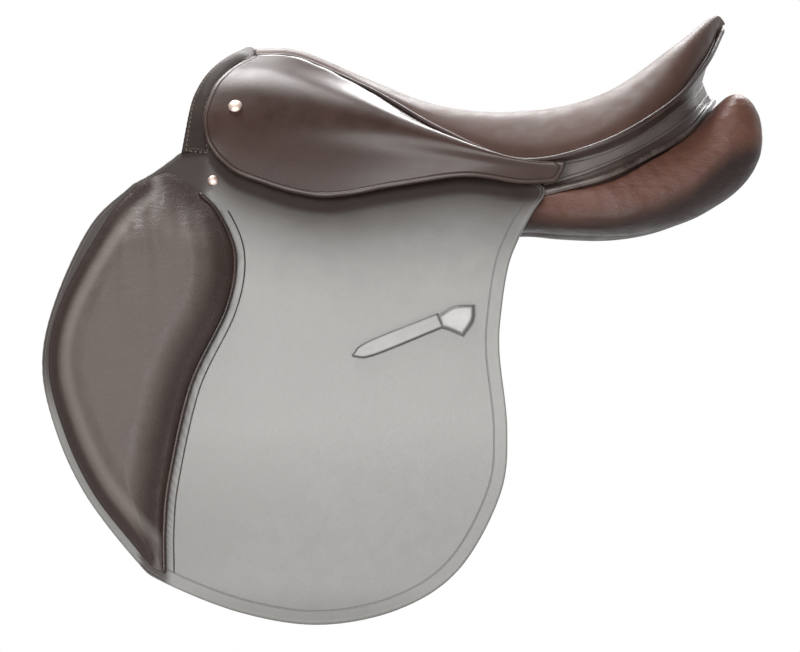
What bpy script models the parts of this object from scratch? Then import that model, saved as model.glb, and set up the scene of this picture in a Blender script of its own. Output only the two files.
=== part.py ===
"""English general-purpose saddle, 17 inch seat, built as separate pieces.

Metres. +X runs from pommel to cantle, +Y to the off (right) side, +Z up.
The origin is the middle of the panels' bearing line on the centre plane.
Shapes of the two sides are drawn once for the off side (width w = +Y)
and mirrored for the near side.
"""

import math

import bpy
import numpy as np

SIDES = {"near": -1, "off": 1}
GAP = 0.0004  # clearance between pieces that touch in the real saddle

# Leather and metal thicknesses
SEAT_LEATHER = 0.003
FOAM_THICK = 0.0125
FOAM_GAP = 0.0012
FOAM_ROWS = (1, 16)  # first and last seat rows the foam covers
SKIRT_LEATHER = 0.004
FLAP_LEATHER = 0.0045
SWEAT_LEATHER = 0.003
FACING_LEATHER = 0.0025
KEEPER_LEATHER = 0.003
WEB_THICK = 0.002
WELT_RADIUS = 0.0025
WELT_GAP = 0.0018
CORD_SIDES = 6  # sides of the welts and the piping

# Seat: centre line (x, z) and sewn edge (x, w, z), station by station
SEAT_CENTRE = [
    (-0.1238, 0.1634), (-0.0860, 0.1616), (-0.0301, 0.1384),
    (0.0344, 0.1122), (0.1032, 0.1036), (0.1720, 0.1178),
    (0.2322, 0.1591), (0.2623, 0.1857), (0.2778, 0.1943),
]
SEAT_EDGE = [
    (-0.1220, 0.044, 0.1582), (-0.0847, 0.046, 0.1555),
    (-0.0295, 0.063, 0.1289), (0.0333, 0.092, 0.0919),
    (0.0990, 0.121, 0.0655), (0.1639, 0.141, 0.0776),
    (0.2228, 0.121, 0.1117), (0.2560, 0.072, 0.1476),
    (0.2769, 0.010, 0.1831),
]
SEAT_ROWS = 21
SEAT_ACROSS = (-1.0, -0.88, -0.68, -0.38, 0.0, 0.38, 0.68, 0.88, 1.0)
SEAT_DROP_POWER = 3.0
DISH_DEPTH = 0.011
DISH_START, DISH_FULL = -0.02, 0.10
SKIRT_LAST_STATION = 4.5  # the skirt is sewn to the seat up to here

# Skirt: bend line about which its lower part lifts, and its edges
SKIRT_BEND = [(-0.1644, 0.102, 0.095), (0.1290, 0.1375, 0.0520)]
SKIRT_FRONT = [(-0.1325, 0.058, 0.1495), (-0.1461, 0.0705, 0.1395),
               (-0.1564, 0.082, 0.1265), (-0.1639, 0.097, 0.1045)]
SKIRT_REAR_UPPER = (0.1325, 0.1390, 0.0575)
SKIRT_LOWER_FRONT = [(-0.1630, 0.105, 0.0870), (-0.1609, 0.107, 0.0786)]
SKIRT_LOWER_EDGE = [
    (-0.1499, 0.111, 0.0635), (-0.1281, 0.117, 0.0491),
    (-0.0659, 0.1255, 0.0323), (0.0000, 0.1265, 0.0415),
    (0.0537, 0.129, 0.0486), (0.0990, 0.131, 0.0427),
    (0.1195, 0.133, 0.0414),
]
SKIRT_BULGE, SKIRT_BULGE_RISE = 0.010, 0.005
SKIRT_SKIVE = (0.7, 0.35)  # leather left at the last columns, thinned to sew
SKIRT_COLUMNS, SKIRT_UPPER_ROWS, SKIRT_LOWER_ROWS = 13, 6, 4

# Flap: bend line just under the skirt; outline (x, z) seen from the side
FLAP_BEND = [(-0.2000, 0.1075, 0.0410), (0.0950, 0.1310, 0.0010)]
FLAP_UPPER_SPREAD = 0.40
FLAP_SPREAD = 0.17
FLAP_THROW, FLAP_THROW_HEIGHT = 0.0196, 0.07
FLAP_WRAP, FLAP_WRAP_X, FLAP_WRAP_HEIGHT = 0.30, -0.02, 0.10
FLAP_TOP_FRONT, FLAP_TOP_REAR = (-0.2220, 0.0436), (0.0940, 0.0006)
FLAP_FRONT = [(-0.2560, 0.0100), (-0.2850, -0.0530), (-0.2950, -0.1060),
              (-0.2830, -0.1590), (-0.2570, -0.2120), (-0.2150, -0.2640)]
FLAP_CORNER_FRONT, FLAP_CORNER_REAR = (-0.1930, -0.2810), (0.0480, -0.2690)
FLAP_BOTTOM = [(-0.1290, -0.3050), (-0.0640, -0.3140), (0.0000, -0.3010)]
FLAP_REAR = [(0.0860, -0.0200), (0.0810, -0.0940), (0.0870, -0.1580),
             (0.0810, -0.2100)]
ROOT_FRONT = [(-0.2210, 0.0450), (-0.2060, 0.0530), (-0.1910, 0.0640),
              (-0.1800, 0.0720)]
ROOT_TOP = [(-0.1620, 0.0750), (-0.1420, 0.0710), (-0.1240, 0.0500),
            (-0.0330, 0.0490), (-0.0170, 0.0530), (0.0410, 0.0540),
            (0.0830, 0.0500)]
ROOT_REAR = [(0.1080, 0.0390), (0.1010, 0.0280), (0.0950, 0.0016)]
FLAP_COLUMNS, FLAP_ROWS, ROOT_ROWS = 14, 13, 5

# Knee pad (x, z) on the flap's outer face
PAD_TOP = [(-0.2150, 0.0395), (-0.1900, 0.0370), (-0.1660, 0.0310)]
PAD_REAR = [(-0.1500, 0.0190), (-0.1360, -0.0150), (-0.1420, -0.0590),
            (-0.1710, -0.1220), (-0.1880, -0.1990), (-0.1915, -0.2390)]
PAD_BOTTOM = [(-0.1910, -0.2740), (-0.2010, -0.2690), (-0.2100, -0.2600)]
PAD_FRONT = [(-0.2420, 0.0150), (-0.2790, -0.0530), (-0.2890, -0.1060),
             (-0.2760, -0.1590), (-0.2500, -0.2110)]
PAD_EDGE_THICK, PAD_THICK = 0.004, 0.020
PAD_COLUMNS, PAD_ROWS = 8, 13

# Keeper on the flap for the free end of the stirrup leather
KEEPER_ENDS = [(-0.0390, -0.0980), (0.0290, -0.0700)]
KEEPER_WIDTH = 0.0125
KEEPER_PATCH = [(0.0310, -0.0655), (0.0475, -0.0550), (0.0610, -0.0560),
                (0.0600, -0.0660), (0.0515, -0.0820), (0.0345, -0.0745)]

# Layers under the flap, each measured inwards from its outer face
GUARD_DEPTH, GUARD_WALL, GUARD_ROOM = 0.0080, 0.0018, 0.0060
STRAP_DEPTH, STRAP_THICK = 0.0108, 0.0040
SWEAT_DEPTH = 0.0205
SWEAT_TOP = [(-0.1900, -0.0020), (-0.0700, -0.0040), (0.0600, -0.0120)]
SWEAT_FRONT = [(-0.2300, -0.0300), (-0.2480, -0.0950), (-0.2270, -0.1720)]
SWEAT_BOTTOM = [(-0.1650, -0.2420), (-0.0700, -0.2700), (0.0250, -0.2350)]
SWEAT_REAR = [(0.0560, -0.0600), (0.0590, -0.1550)]
SWEAT_COUNT = 10  # rows and columns of the sweat flap's grid

# Girth straps: centre x of each, shared pivot height and strap shape
STRAP_X = (-0.0180, 0.0120, 0.0420)
LAYER_SLOPE = 0.035  # fore-and-aft lie of the strap layer
STRAP_PIVOT_Z, STRAP_TOP_Z, STRAP_TIP_Z = 0.0120, 0.0200, -0.2600
STRAP_HALF_WIDTH, STRAP_TIP_HALF_WIDTH = 0.0125, 0.0060
STRAP_PLAIN_ROWS = [-0.01, -0.04, -0.07, -0.10]  # heights above the holes
HOLE_RADIUS, HOLE_PITCH, HOLE_LOWEST_Z, HOLES = 0.0026, 0.026, -0.2400, 5
GUARD_TOP_Z, GUARD_BOTTOM_Z = -0.0250, -0.0950
GUARD_SIDE_ROOM, GUARD_LEVELS = 0.0030, 4

# Webbing carrying the straps over the tree: x range, then path (w, z)
FRONT_WEB_X, FRONT_WEB_SLOPE = (-0.0310, -0.0050), -0.40
FRONT_WEB_PATH = [(0.0000, 0.1072), (0.0270, 0.1070), (0.0500, 0.1066),
                  (0.0630, 0.1050), (0.0715, 0.0960), (0.0800, 0.0800),
                  (0.0930, 0.0530), (0.1040, 0.0240)]
REAR_WEB_X, REAR_WEB_SLOPE = (-0.0005, 0.0545), -0.27
REAR_WEB_PATH = [(0.0000, 0.0878), (0.0270, 0.0878), (0.0520, 0.0876),
                 (0.0660, 0.0862), (0.0750, 0.0780), (0.0840, 0.0660),
                 (0.0950, 0.0480), (0.1060, 0.0240)]
SEAT_WEB_HALF_WIDTH = 0.022
SEAT_WEB_X = (-0.1000, 0.2000)
SEAT_WEB_DEPTH = 0.0225
WEB_COLUMNS, SEAT_WEB_COLUMNS = 10, 12

# Tree
ARCH_PATH = [(-0.1290, 0.0000, 0.1440), (-0.1330, 0.0280, 0.1380),
             (-0.1420, 0.0530, 0.1170), (-0.1500, 0.0720, 0.0880),
             (-0.1540, 0.0830, 0.0500), (-0.1530, 0.0915, 0.0110)]
ARCH_BREADTH, ARCH_THICK = 0.022, 0.010
PLATE_STOP = 0.62  # share of the arch the steel gullet plate covers
PLATE_THICK = 0.003
RAIL_PATH = [(-0.1120, 0.0380, 0.1210), (-0.0500, 0.0450, 0.1080),
             (0.0000, 0.0500, 0.0864), (0.0690, 0.0550, 0.0676),
             (0.1380, 0.0600, 0.0720), (0.1950, 0.0660, 0.0900)]
RAIL_WIDTH, RAIL_THICK = 0.024, 0.011
SPRING_WIDTH, SPRING_THICK = 0.016, 0.0025
ARCH_COUNT, PLATE_COUNT, RAIL_COUNT = 10, 8, 10
PLATE_GAP, SPRING_GAP = 0.0020, 0.0012

# Stirrup bar: riveted plate, open hook and hinged safety catch
BAR_PLATE_X = (-0.1060, -0.0500)
BAR_PLATE_TOP, BAR_PLATE_FOOT = (0.0610, 0.1160), (0.0850, 0.0500)
BAR_PLATE_THICK = 0.003
HOOK_PATH = [(-0.0900, 0.0822), (-0.1120, 0.0825), (-0.1190, 0.0900),
             (-0.1120, 0.0965), (-0.0560, 0.0965)]
HOOK_Z, HOOK_HEIGHT, HOOK_THICK = 0.0580, 0.0100, 0.0036
CATCH_X, CATCH_LENGTH, CATCH_HEIGHT, CATCH_THICK = -0.0620, 0.018, 0.009, 0.003
CATCH_SIDES = 16
PIN_RADIUS, PIN_HEAD, PIN_HEAD_THICK, PIN_SIDES = 0.0020, 0.0032, 0.0010, 12
RIVET_X = (-0.0950, -0.0610)
RIVET_RADIUS, RIVET_HEIGHT, RIVET_DROP = 0.0040, 0.0022, 0.0060

# Cantle, facings and panel trim: half outlines (x, w, z), ending on centre
LINING_TOP_START = 5.0
LINING_GAP, RIM_INSET, LINING_FOOT_GAP = 0.0024, 0.0010, 0.0016
TRIM_COLUMNS, LINING_ROWS, FACING_ROWS = 10, 4, 3
POMMEL_PADDING = 0.002
FACING_TOP = [(0.1180, 0.1120, 0.0600), (0.1647, 0.1250, 0.0695),
              (0.1982, 0.1175, 0.0850), (0.2390, 0.0745, 0.1143),
              (0.2520, 0.0400, 0.1275), (0.2597, 0.0000, 0.1372)]
FACING_FOOT = [(0.1180, 0.1120, 0.0410), (0.1576, 0.1190, 0.0522),
               (0.1973, 0.1080, 0.0703), (0.2273, 0.0850, 0.0881),
               (0.2490, 0.0550, 0.1058), (0.2657, 0.0000, 0.1221)]
PIPING_PATH = [(0.1180, 0.1190, 0.0360), (0.1674, 0.1220, 0.0490),
               (0.2039, 0.1080, 0.0665), (0.2396, 0.0830, 0.0870),
               (0.2600, 0.0450, 0.1090), (0.2690, 0.0000, 0.1185)]
PIPING_RADIUS = 0.0028
POMMEL_FRONT = [(-0.1807, 0.0950, 0.0800), (-0.1766, 0.0800, 0.1068),
                (-0.1713, 0.0700, 0.1242), (-0.1621, 0.0550, 0.1404),
                (-0.1487, 0.0350, 0.1538), (-0.1333, 0.0000, 0.1651)]
POMMEL_BACK = [(-0.1640, 0.0960, 0.0800), (-0.1620, 0.0885, 0.1040),
               (-0.1530, 0.0745, 0.1250), (-0.1420, 0.0600, 0.1400),
               (-0.1290, 0.0400, 0.1540), (-0.1256, 0.0000, 0.1616)]
CANTLE_SHARE = (0.55, 0.95)
CANTLE_COLUMNS = slice(3, -3)  # lining columns the board reaches
CANTLE_THICK, CANTLE_GAP = 0.006, 0.0012

# Panel cushion stations: x, middle (w, z), half sizes, roll in degrees
PANEL_STATIONS = [
    (-0.1830, 0.062, 0.024, 0.012, 0.006, 52),
    (-0.1720, 0.060, 0.014, 0.033, 0.013, 52),
    (-0.1300, 0.060, 0.013, 0.040, 0.017, 48),
    (-0.0700, 0.060, 0.020, 0.038, 0.024, 38),
    (0.0000, 0.060, 0.026, 0.036, 0.028, 28),
    (0.0580, 0.060, 0.026, 0.034, 0.027, 18),
    (0.1050, 0.071, 0.022, 0.043, 0.022, 11),
    (0.1400, 0.076, 0.019, 0.045, 0.018, 6),
    (0.1800, 0.077, 0.025, 0.045, 0.021, 3),
    (0.2120, 0.075, 0.034, 0.043, 0.027, 0),
    (0.2415, 0.073, 0.048, 0.040, 0.032, 0),
    (0.2620, 0.071, 0.067, 0.037, 0.040, 0),
    (0.2763, 0.070, 0.079, 0.034, 0.0425, 0),
    (0.2898, 0.070, 0.0835, 0.028, 0.033, 0),
    (0.2982, 0.070, 0.0845, 0.017, 0.018, 0),
    (0.3007, 0.070, 0.0850, 0.006, 0.006, 0),
]
PANEL_SIDES = 14
PANEL_SQUARENESS = 2.6

POCKET_TOP_Z, POCKET_FOOT_Z = 0.0360, -0.0080
POCKET_X = (-0.1760, -0.1300)
POCKET_DEPTH, POCKET_THICK, POCKET_COUNT = 0.0110, 0.0020, 3

POMMEL_NAIL = (-0.1402, 0.1147)
FLAP_NAIL = (-0.1548, 0.0465)
FLAP_NAIL_WAY, FLAP_NAIL_GAP = (0.0, 0.93, 0.37), 0.0003
NAIL_RADIUS, FLAP_NAIL_RADIUS, NAIL_HEIGHT = 0.0062, 0.0050, 0.0030
DOME = [(1.0, 0.0), (1.0, 0.35), (0.72, 0.8), (0.3, 1.0)]  # radius, height
DOME_SIDES = 10

MATERIALS = {
    "seat_leather": ((0.085, 0.045, 0.033), 0.42, 0.0),
    "skirt_leather": ((0.110, 0.075, 0.062), 0.40, 0.0),
    "flap_leather": ((0.200, 0.165, 0.150), 0.38, 0.0),
    "panel_leather": ((0.110, 0.050, 0.034), 0.50, 0.0),
    "dark_leather": ((0.045, 0.028, 0.024), 0.50, 0.0),
    "web": ((0.450, 0.400, 0.300), 0.90, 0.0),
    "foam": ((0.600, 0.550, 0.350), 0.95, 0.0),
    "beech": ((0.420, 0.260, 0.130), 0.60, 0.0),
    "steel": ((0.450, 0.450, 0.460), 0.35, 1.0),
    "brass": ((0.700, 0.560, 0.420), 0.30, 1.0),
}


def new_material(name, kind):
    colour, roughness, metallic = MATERIALS[kind]
    material = bpy.data.materials.new(name)
    material.use_nodes = True
    shader = material.node_tree.nodes["Principled BSDF"]
    shader.inputs["Base Color"].default_value = (*colour, 1.0)
    shader.inputs["Roughness"].default_value = roughness
    shader.inputs["Metallic"].default_value = metallic
    material.diffuse_color = (*colour, 1.0)
    return material


def outward(points, faces):
    """The faces, turned so that they all look out of the solid."""
    volume = 0.0
    for f in faces:
        for k in range(1, len(f) - 1):
            a, b, c = points[f[0]], points[f[k]], points[f[k + 1]]
            volume += np.dot(a, np.cross(b, c))
    return faces if volume > 0 else [tuple(reversed(f)) for f in faces]


def split_quads(faces):
    """Quads cut along one diagonal, so that both sides are true mirrors."""
    cut = []
    for f in faces:
        cut += [f[:3], (f[0], f[2], f[3])] if len(f) == 4 else [f]
    return cut


def node(name, points, faces, kind, side=1, origin=(0.0, 0.0, 0.0)):
    """One named piece; side -1 mirrors the off-side shape to the near side."""
    flip = np.array([1.0, side, 1.0])
    pivot = np.array(origin) * flip
    local = np.array(points) * flip - pivot
    faces = split_quads(outward(np.array(points), faces))
    if side < 0:
        faces = [tuple(reversed(f)) for f in faces]
    mesh = bpy.data.meshes.new(name)
    mesh.from_pydata(local.tolist(), [], [tuple(f) for f in faces])
    mesh.materials.append(new_material(name, kind))
    piece = bpy.data.objects.new(name, mesh)
    piece.location = pivot
    bpy.context.scene.collection.objects.link(piece)
    return piece


def spline(points, at):
    """Points of a smooth curve through the given ones, at station numbers."""
    p = np.array(points, float)
    p = np.vstack([2 * p[0] - p[1], p, 2 * p[-1] - p[-2]])
    at = np.atleast_1d(np.asarray(at, float))
    i = np.clip(at.astype(int), 0, len(p) - 4)
    t = (at - i)[:, None]
    a, b, c, d = p[i], p[i + 1], p[i + 2], p[i + 3]
    return 0.5 * (2 * b + (c - a) * t + (2 * a - 5 * b + 4 * c - d) * t**2
                  + (3 * b - a - 3 * c + d) * t**3)


def curve(points, count):
    """Smooth curve through the points, cut into steps of even length."""
    fine = spline(points, np.linspace(0, len(points) - 1, 40 * len(points)))
    steps = np.linalg.norm(np.diff(fine, axis=0), axis=1)
    length = np.concatenate([[0.0], np.cumsum(steps)])
    at = np.linspace(0, length[-1], count)
    axes = range(fine.shape[1])
    return np.stack([np.interp(at, length, fine[:, k]) for k in axes], axis=1)


def patch(top, bottom, front, rear):
    """Grid of points filling four border curves that meet at their ends."""
    u = np.linspace(0, 1, len(top))[None, :, None]
    v = np.linspace(0, 1, len(front))[:, None, None]
    down = (1 - v) * top[None] + v * bottom[None]
    along = (1 - u) * front[:, None] + u * rear[:, None]
    corners = ((1 - u) * (1 - v) * top[0] + u * (1 - v) * top[-1]
               + (1 - u) * v * bottom[0] + u * v * bottom[-1])
    return down + along - corners


def normals(grid):
    """Unit normals of a grid of points; rows cross columns."""
    across = np.gradient(grid, axis=1)
    down = np.gradient(grid, axis=0)
    n = np.cross(across, down)
    return n / np.linalg.norm(n, axis=2, keepdims=True)


def grid_faces(rows, columns):
    faces = []
    for r in range(rows - 1):
        for c in range(columns - 1):
            a = r * columns + c
            faces.append((a, a + columns, a + columns + 1, a + 1))
    return faces


def thick(outer, inner, faces):
    """Close two matching skins into a solid with walls along every edge."""
    count = len(outer)
    used = {}
    for face in faces:
        for a, b in zip(face, face[1:] + face[:1]):
            used[(a, b)] = True
    walls = [(b, a, a + count, b + count)
             for a, b in used if (b, a) not in used]
    back = [tuple(i + count for i in reversed(f)) for f in faces]
    return np.vstack([outer, inner]), faces + back + walls


def sheet(name, grid, depth, kind, side=1, origin=(0, 0, 0), n=None):
    """Solid sheet whose outer face is the grid, `depth` thick inwards."""
    n = normals(grid) if n is None else n
    rows, columns = grid.shape[:2]
    outer = grid.reshape(-1, 3)
    inner = (grid - n * depth).reshape(-1, 3)
    points, faces = thick(outer, inner, grid_faces(rows, columns))
    return node(name, points, faces, kind, side, origin)


def loft(rings):
    """Tube through matching rings, closed by a fan at each end."""
    count = len(rings[0])
    points = [p for ring in rings for p in ring]
    faces = []
    for r in range(len(rings) - 1):
        for c in range(count):
            d = (c + 1) % count
            a, b = r * count, (r + 1) * count
            faces.append((a + c, a + d, b + d, b + c))
    for ring, first, turn in ((rings[0], 0, 1), (rings[-1], len(rings) - 1, -1)):
        hub = len(points)
        points.append(np.mean(ring, axis=0))
        for c in range(count):
            a, b = first * count + c, first * count + (c + 1) % count
            faces.append((hub, b, a)[::turn])
    return points, faces


def sweep(path, profile, across):
    """Rings of a flat or round profile carried along a path.

    `across` is the direction of the profile's first coordinate.
    """
    path = np.array(path)
    forward = np.gradient(path, axis=0)
    forward /= np.linalg.norm(forward, axis=1, keepdims=True)
    side = np.array(across) - forward * (forward @ np.array(across))[:, None]
    side /= np.linalg.norm(side, axis=1, keepdims=True)
    lift = np.cross(forward, side)
    return [[p + a * s + b * u for a, b in profile]
            for p, s, u in zip(path, side, lift)]


def bar(width, height):
    """Rectangular profile for sweeps."""
    return [(-width / 2, -height / 2), (width / 2, -height / 2),
            (width / 2, height / 2), (-width / 2, height / 2)]


def circle(radius, count):
    turns = np.linspace(0, 2 * math.pi, count, endpoint=False)
    return [(radius * math.cos(t), radius * math.sin(t)) for t in turns]


def mirrored(half):
    """A half outline that ends on the centre plane, carried round to near."""
    half = np.array(half)
    other = half[:-1][::-1] * np.array([1.0, -1.0, 1.0])
    return np.vstack([half, other])


# ---------------------------------------------------------------- seat

def seat_grid():
    """Seat surface, pommel to cantle by rows, near to off by columns."""
    station = np.linspace(0, len(SEAT_CENTRE) - 1, SEAT_ROWS)
    centre = spline(SEAT_CENTRE, station)
    edge = spline(SEAT_EDGE, station)
    grid = np.zeros((SEAT_ROWS, len(SEAT_ACROSS), 3))
    dish = np.clip((centre[:, 0] - DISH_START) / (DISH_FULL - DISH_START), 0, 1)
    dish *= DISH_DEPTH * np.clip(edge[:, 1] / SEAT_EDGE[4][1], 0, 1)
    for column, s in enumerate(SEAT_ACROSS):
        drop = abs(s) ** SEAT_DROP_POWER
        grid[:, column, 0] = centre[:, 0] + (edge[:, 0] - centre[:, 0]) * s * s
        grid[:, column, 1] = s * edge[:, 1]
        grid[:, column, 2] = (centre[:, 1] + (edge[:, 2] - centre[:, 1]) * drop
                              + dish * 4 * s * s * (1 - s * s))
    return grid


SEAT = seat_grid()
SEAT_UP = -normals(SEAT)
EDGE = SEAT[:, -1]
EDGE_OUT = EDGE - SEAT[:, -2]
EDGE_OUT = EDGE_OUT / np.linalg.norm(EDGE_OUT, axis=1, keepdims=True)


def seat_height(x, w):
    """Height of the seat's surface over (x, w), by its nearest stations."""
    rows = []
    for row in SEAT:
        half = row[:, 1] >= 0
        rows.append((np.interp(w, row[half, 1], row[half, 0]),
                     np.interp(w, row[half, 1], row[half, 2])))
    rows = np.array(rows)
    return float(np.interp(x, rows[:, 0], rows[:, 1]))


def make_seat():
    rows, columns = SEAT.shape[:2]
    faces = [f[::-1] for f in grid_faces(rows, columns)]
    outer = SEAT.reshape(-1, 3)
    inner = (SEAT - SEAT_UP * SEAT_LEATHER).reshape(-1, 3)
    node("seat_cover", *thick(outer, inner, faces), "seat_leather")

    first, last = FOAM_ROWS
    part, up = SEAT[first:last, 1:-1], SEAT_UP[first:last, 1:-1]
    rows, columns = part.shape[:2]
    faces = [f[::-1] for f in grid_faces(rows, columns)]
    top = part - up * (SEAT_LEATHER + FOAM_GAP)
    foot = top - up * FOAM_THICK
    node("seat_foam", *thick(top.reshape(-1, 3), foot.reshape(-1, 3), faces),
         "foam")

    welt = EDGE + EDGE_OUT * (WELT_RADIUS + WELT_GAP)
    rings = sweep(welt, circle(WELT_RADIUS, CORD_SIDES), (0, 0, 1))
    for label, side in SIDES.items():
        node(label + "_seat_welt", *loft(rings), "dark_leather", side)


# -------------------------------------------------------------- skirts

def skirt_seam(count):
    """Where the skirt meets the seat's welt, from pommel to waist."""
    station = np.linspace(0, len(SEAT_CENTRE) - 1, SEAT_ROWS)
    room = 2 * WELT_RADIUS + 2 * WELT_GAP
    seam = EDGE + EDGE_OUT * room
    keep = station <= SKIRT_LAST_STATION
    return curve(seam[keep], count)


def skirt_grids():
    """Outer faces of the skirt above and below its bend line."""
    across, rows = SKIRT_COLUMNS, SKIRT_UPPER_ROWS
    top = skirt_seam(across)
    bend = curve(SKIRT_BEND, across)
    front = curve([top[0], *SKIRT_FRONT, bend[0]], rows)
    rear = curve([top[-1], SKIRT_REAR_UPPER, bend[-1]], rows)
    upper = patch(top, bend, front, rear)
    share = np.sin(np.linspace(0, math.pi, rows))[:, None]
    width = np.sin(np.linspace(0, math.pi, across))[None, :]
    upper[:, :, 1] += SKIRT_BULGE * share * width
    upper[:, :, 2] += SKIRT_BULGE_RISE * share * width

    start = np.array(SKIRT_BEND, float)
    start[:, 2] -= 2 * GAP
    hinge = curve(start, across)
    foot = curve([SKIRT_LOWER_FRONT[-1], *SKIRT_LOWER_EDGE], across)
    front = curve([hinge[0], SKIRT_LOWER_FRONT[0], foot[0]], SKIRT_LOWER_ROWS)
    rear = curve([hinge[-1], foot[-1]], SKIRT_LOWER_ROWS)
    lower = patch(hinge, foot, front, rear)
    return upper, lower


def make_skirts():
    upper, lower = skirt_grids()
    over, under = normals(upper), normals(lower)
    shared = over[-1] + under[0]
    shared /= np.linalg.norm(shared, axis=1, keepdims=True)
    over[-1], under[0] = shared, shared
    for column, point in enumerate(upper[0]):
        nearest = np.argmin(np.linalg.norm(EDGE - point, axis=1))
        over[0, column] = SEAT_UP[nearest, -1]
    spot = np.array([POMMEL_NAIL[0], 0.0, POMMEL_NAIL[1]])
    away = np.linalg.norm((upper - spot)[1:-1, 1:-1, ::2], axis=2)
    row, column = np.unravel_index(np.argmin(away), away.shape)
    centre, way = upper[row + 1, column + 1], over[row + 1, column + 1]
    depth = np.full((*upper.shape[:2], 1), SKIRT_LEATHER)
    depth[:, -len(SKIRT_SKIVE):, 0] *= SKIRT_SKIVE
    for label, side in SIDES.items():
        sheet(label + "_skirt_top", upper, depth, "skirt_leather", side, n=over)
        sheet(label + "_skirt", lower, SKIRT_LEATHER, "skirt_leather", side,
              SKIRT_BEND[0], n=under)
        node(label + "_pommel_nail",
             *button(centre + way * GAP, way, NAIL_RADIUS, NAIL_HEIGHT),
             "brass", side)


# --------------------------------------------------------------- flaps

def flap_w(x, z, depth=0.0):
    """Half width of the flap's outer face at (x, z), `depth` further in."""
    (xf, wf, zf), (xr, wr, zr) = FLAP_BEND
    share = (x - xf) / (xr - xf)
    w0, h = wf + (wr - wf) * share, zf + (zr - zf) * share - z
    low = np.maximum(h, 0)
    below = (FLAP_SPREAD * low
             + FLAP_THROW * (1 - np.exp(-low / FLAP_THROW_HEIGHT))
             - FLAP_WRAP * (x - FLAP_WRAP_X) ** 2
             * (1 - np.exp(-low / FLAP_WRAP_HEIGHT)))
    return w0 + FLAP_UPPER_SPREAD * np.minimum(h, 0) + below - depth


def on_flap(plan, depth=0.0):
    """Lift a plan (x, z) onto the flap's outer face."""
    plan = np.array(plan)
    x, z = plan[..., 0], plan[..., 1]
    return np.stack([x, flap_w(x, z, depth), z], axis=-1)


def make_flaps():
    columns, rows = FLAP_COLUMNS, FLAP_ROWS
    top = curve([FLAP_TOP_FRONT, FLAP_TOP_REAR], columns)
    bottom = curve([FLAP_CORNER_FRONT, *FLAP_BOTTOM, FLAP_CORNER_REAR], columns)
    front = curve([FLAP_TOP_FRONT, *FLAP_FRONT, FLAP_CORNER_FRONT], rows)
    rear = curve([FLAP_TOP_REAR, *FLAP_REAR, FLAP_CORNER_REAR], rows)
    flap = on_flap(patch(top, bottom, front, rear))

    edge = np.array([ROOT_FRONT[0], ROOT_REAR[-1]])
    foot = curve(edge, columns)
    top = curve([ROOT_FRONT[-1], *ROOT_TOP, ROOT_REAR[0]], columns)
    front = curve(ROOT_FRONT[::-1], ROOT_ROWS)
    rear = curve(ROOT_REAR, ROOT_ROWS)
    root = on_flap(patch(top, foot, front, rear))
    for label, side in SIDES.items():
        sheet(label + "_flap", flap, FLAP_LEATHER, "flap_leather", side,
              FLAP_BEND[0])
        sheet(label + "_flap_root", root, FLAP_LEATHER, "flap_leather", side)


def raised(name, plan, heights, kind, side, origin):
    """Piece lying on the flap: flat back, front raised by `heights`."""
    back = on_flap(plan, -GAP)
    n = normals(on_flap(plan))
    rows, columns = plan.shape[:2]
    front = back + n * heights[..., None]
    points, faces = thick(front.reshape(-1, 3), back.reshape(-1, 3),
                          grid_faces(rows, columns))
    return node(name, points, faces, kind, side, origin)


def make_flap_fittings():
    columns, rows = PAD_COLUMNS, PAD_ROWS
    top, bottom = curve(PAD_TOP, columns), curve(PAD_BOTTOM[::-1], columns)
    front = curve([PAD_TOP[0], *PAD_FRONT, PAD_BOTTOM[-1]], rows)
    rear = curve([PAD_TOP[-1], *PAD_REAR, PAD_BOTTOM[0]], rows)
    pad = patch(top, bottom, front, rear)
    u = np.sin(np.linspace(0, math.pi, columns))[None, :]
    v = np.sin(np.linspace(0, math.pi, rows))[:, None]
    swell = PAD_EDGE_THICK + (PAD_THICK - PAD_EDGE_THICK) * np.sqrt(u * v)

    ends = np.array(KEEPER_ENDS)
    along = (ends[1] - ends[0]) / np.linalg.norm(ends[1] - ends[0])
    off = np.array([-along[1], along[0]]) * KEEPER_WIDTH / 2
    run = curve(ends, 5)
    strap = np.stack([run + off, run - off])
    patch_plan = np.array(KEEPER_PATCH)
    for label, side in SIDES.items():
        raised(label + "_knee_pad", pad, swell, "dark_leather", side,
               FLAP_BEND[0])
        raised(label + "_keeper_strap", strap,
               np.full(strap.shape[:2], KEEPER_LEATHER), "skirt_leather",
               side, FLAP_BEND[0])
        back = on_flap(patch_plan, -GAP)
        face = on_flap(patch_plan, -GAP - KEEPER_LEATHER)
        turn = tuple(range(len(back)))[::-1]
        node(label + "_keeper_patch", *thick(face, back, [turn]),
             "flap_leather", side, FLAP_BEND[0])


def make_sweat_flaps():
    count = SWEAT_COUNT
    top, bottom = curve(SWEAT_TOP, count), curve(SWEAT_BOTTOM, count)
    front = curve([SWEAT_TOP[0], *SWEAT_FRONT, SWEAT_BOTTOM[0]], count)
    rear = curve([SWEAT_TOP[-1], *SWEAT_REAR, SWEAT_BOTTOM[-1]], count)
    flap = on_flap(patch(top, bottom, front, rear), SWEAT_DEPTH)
    for label, side in SIDES.items():
        sheet(label + "_sweat_flap", flap, SWEAT_LEATHER, "dark_leather", side)


# -------------------------------------------------------- girth straps

def strap_rows():
    """Heights of the strap's cross rows; each hole sits between two rows."""
    rows, holes = [STRAP_TOP_Z, *STRAP_PLAIN_ROWS], []
    for k in range(HOLES - 1, -1, -1):
        middle = HOLE_LOWEST_Z + k * HOLE_PITCH
        rows += [middle + STRAP_HALF_WIDTH * 0.7, middle - STRAP_HALF_WIDTH * 0.7]
        holes.append(len(rows) - 2)
    return rows, holes


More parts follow.
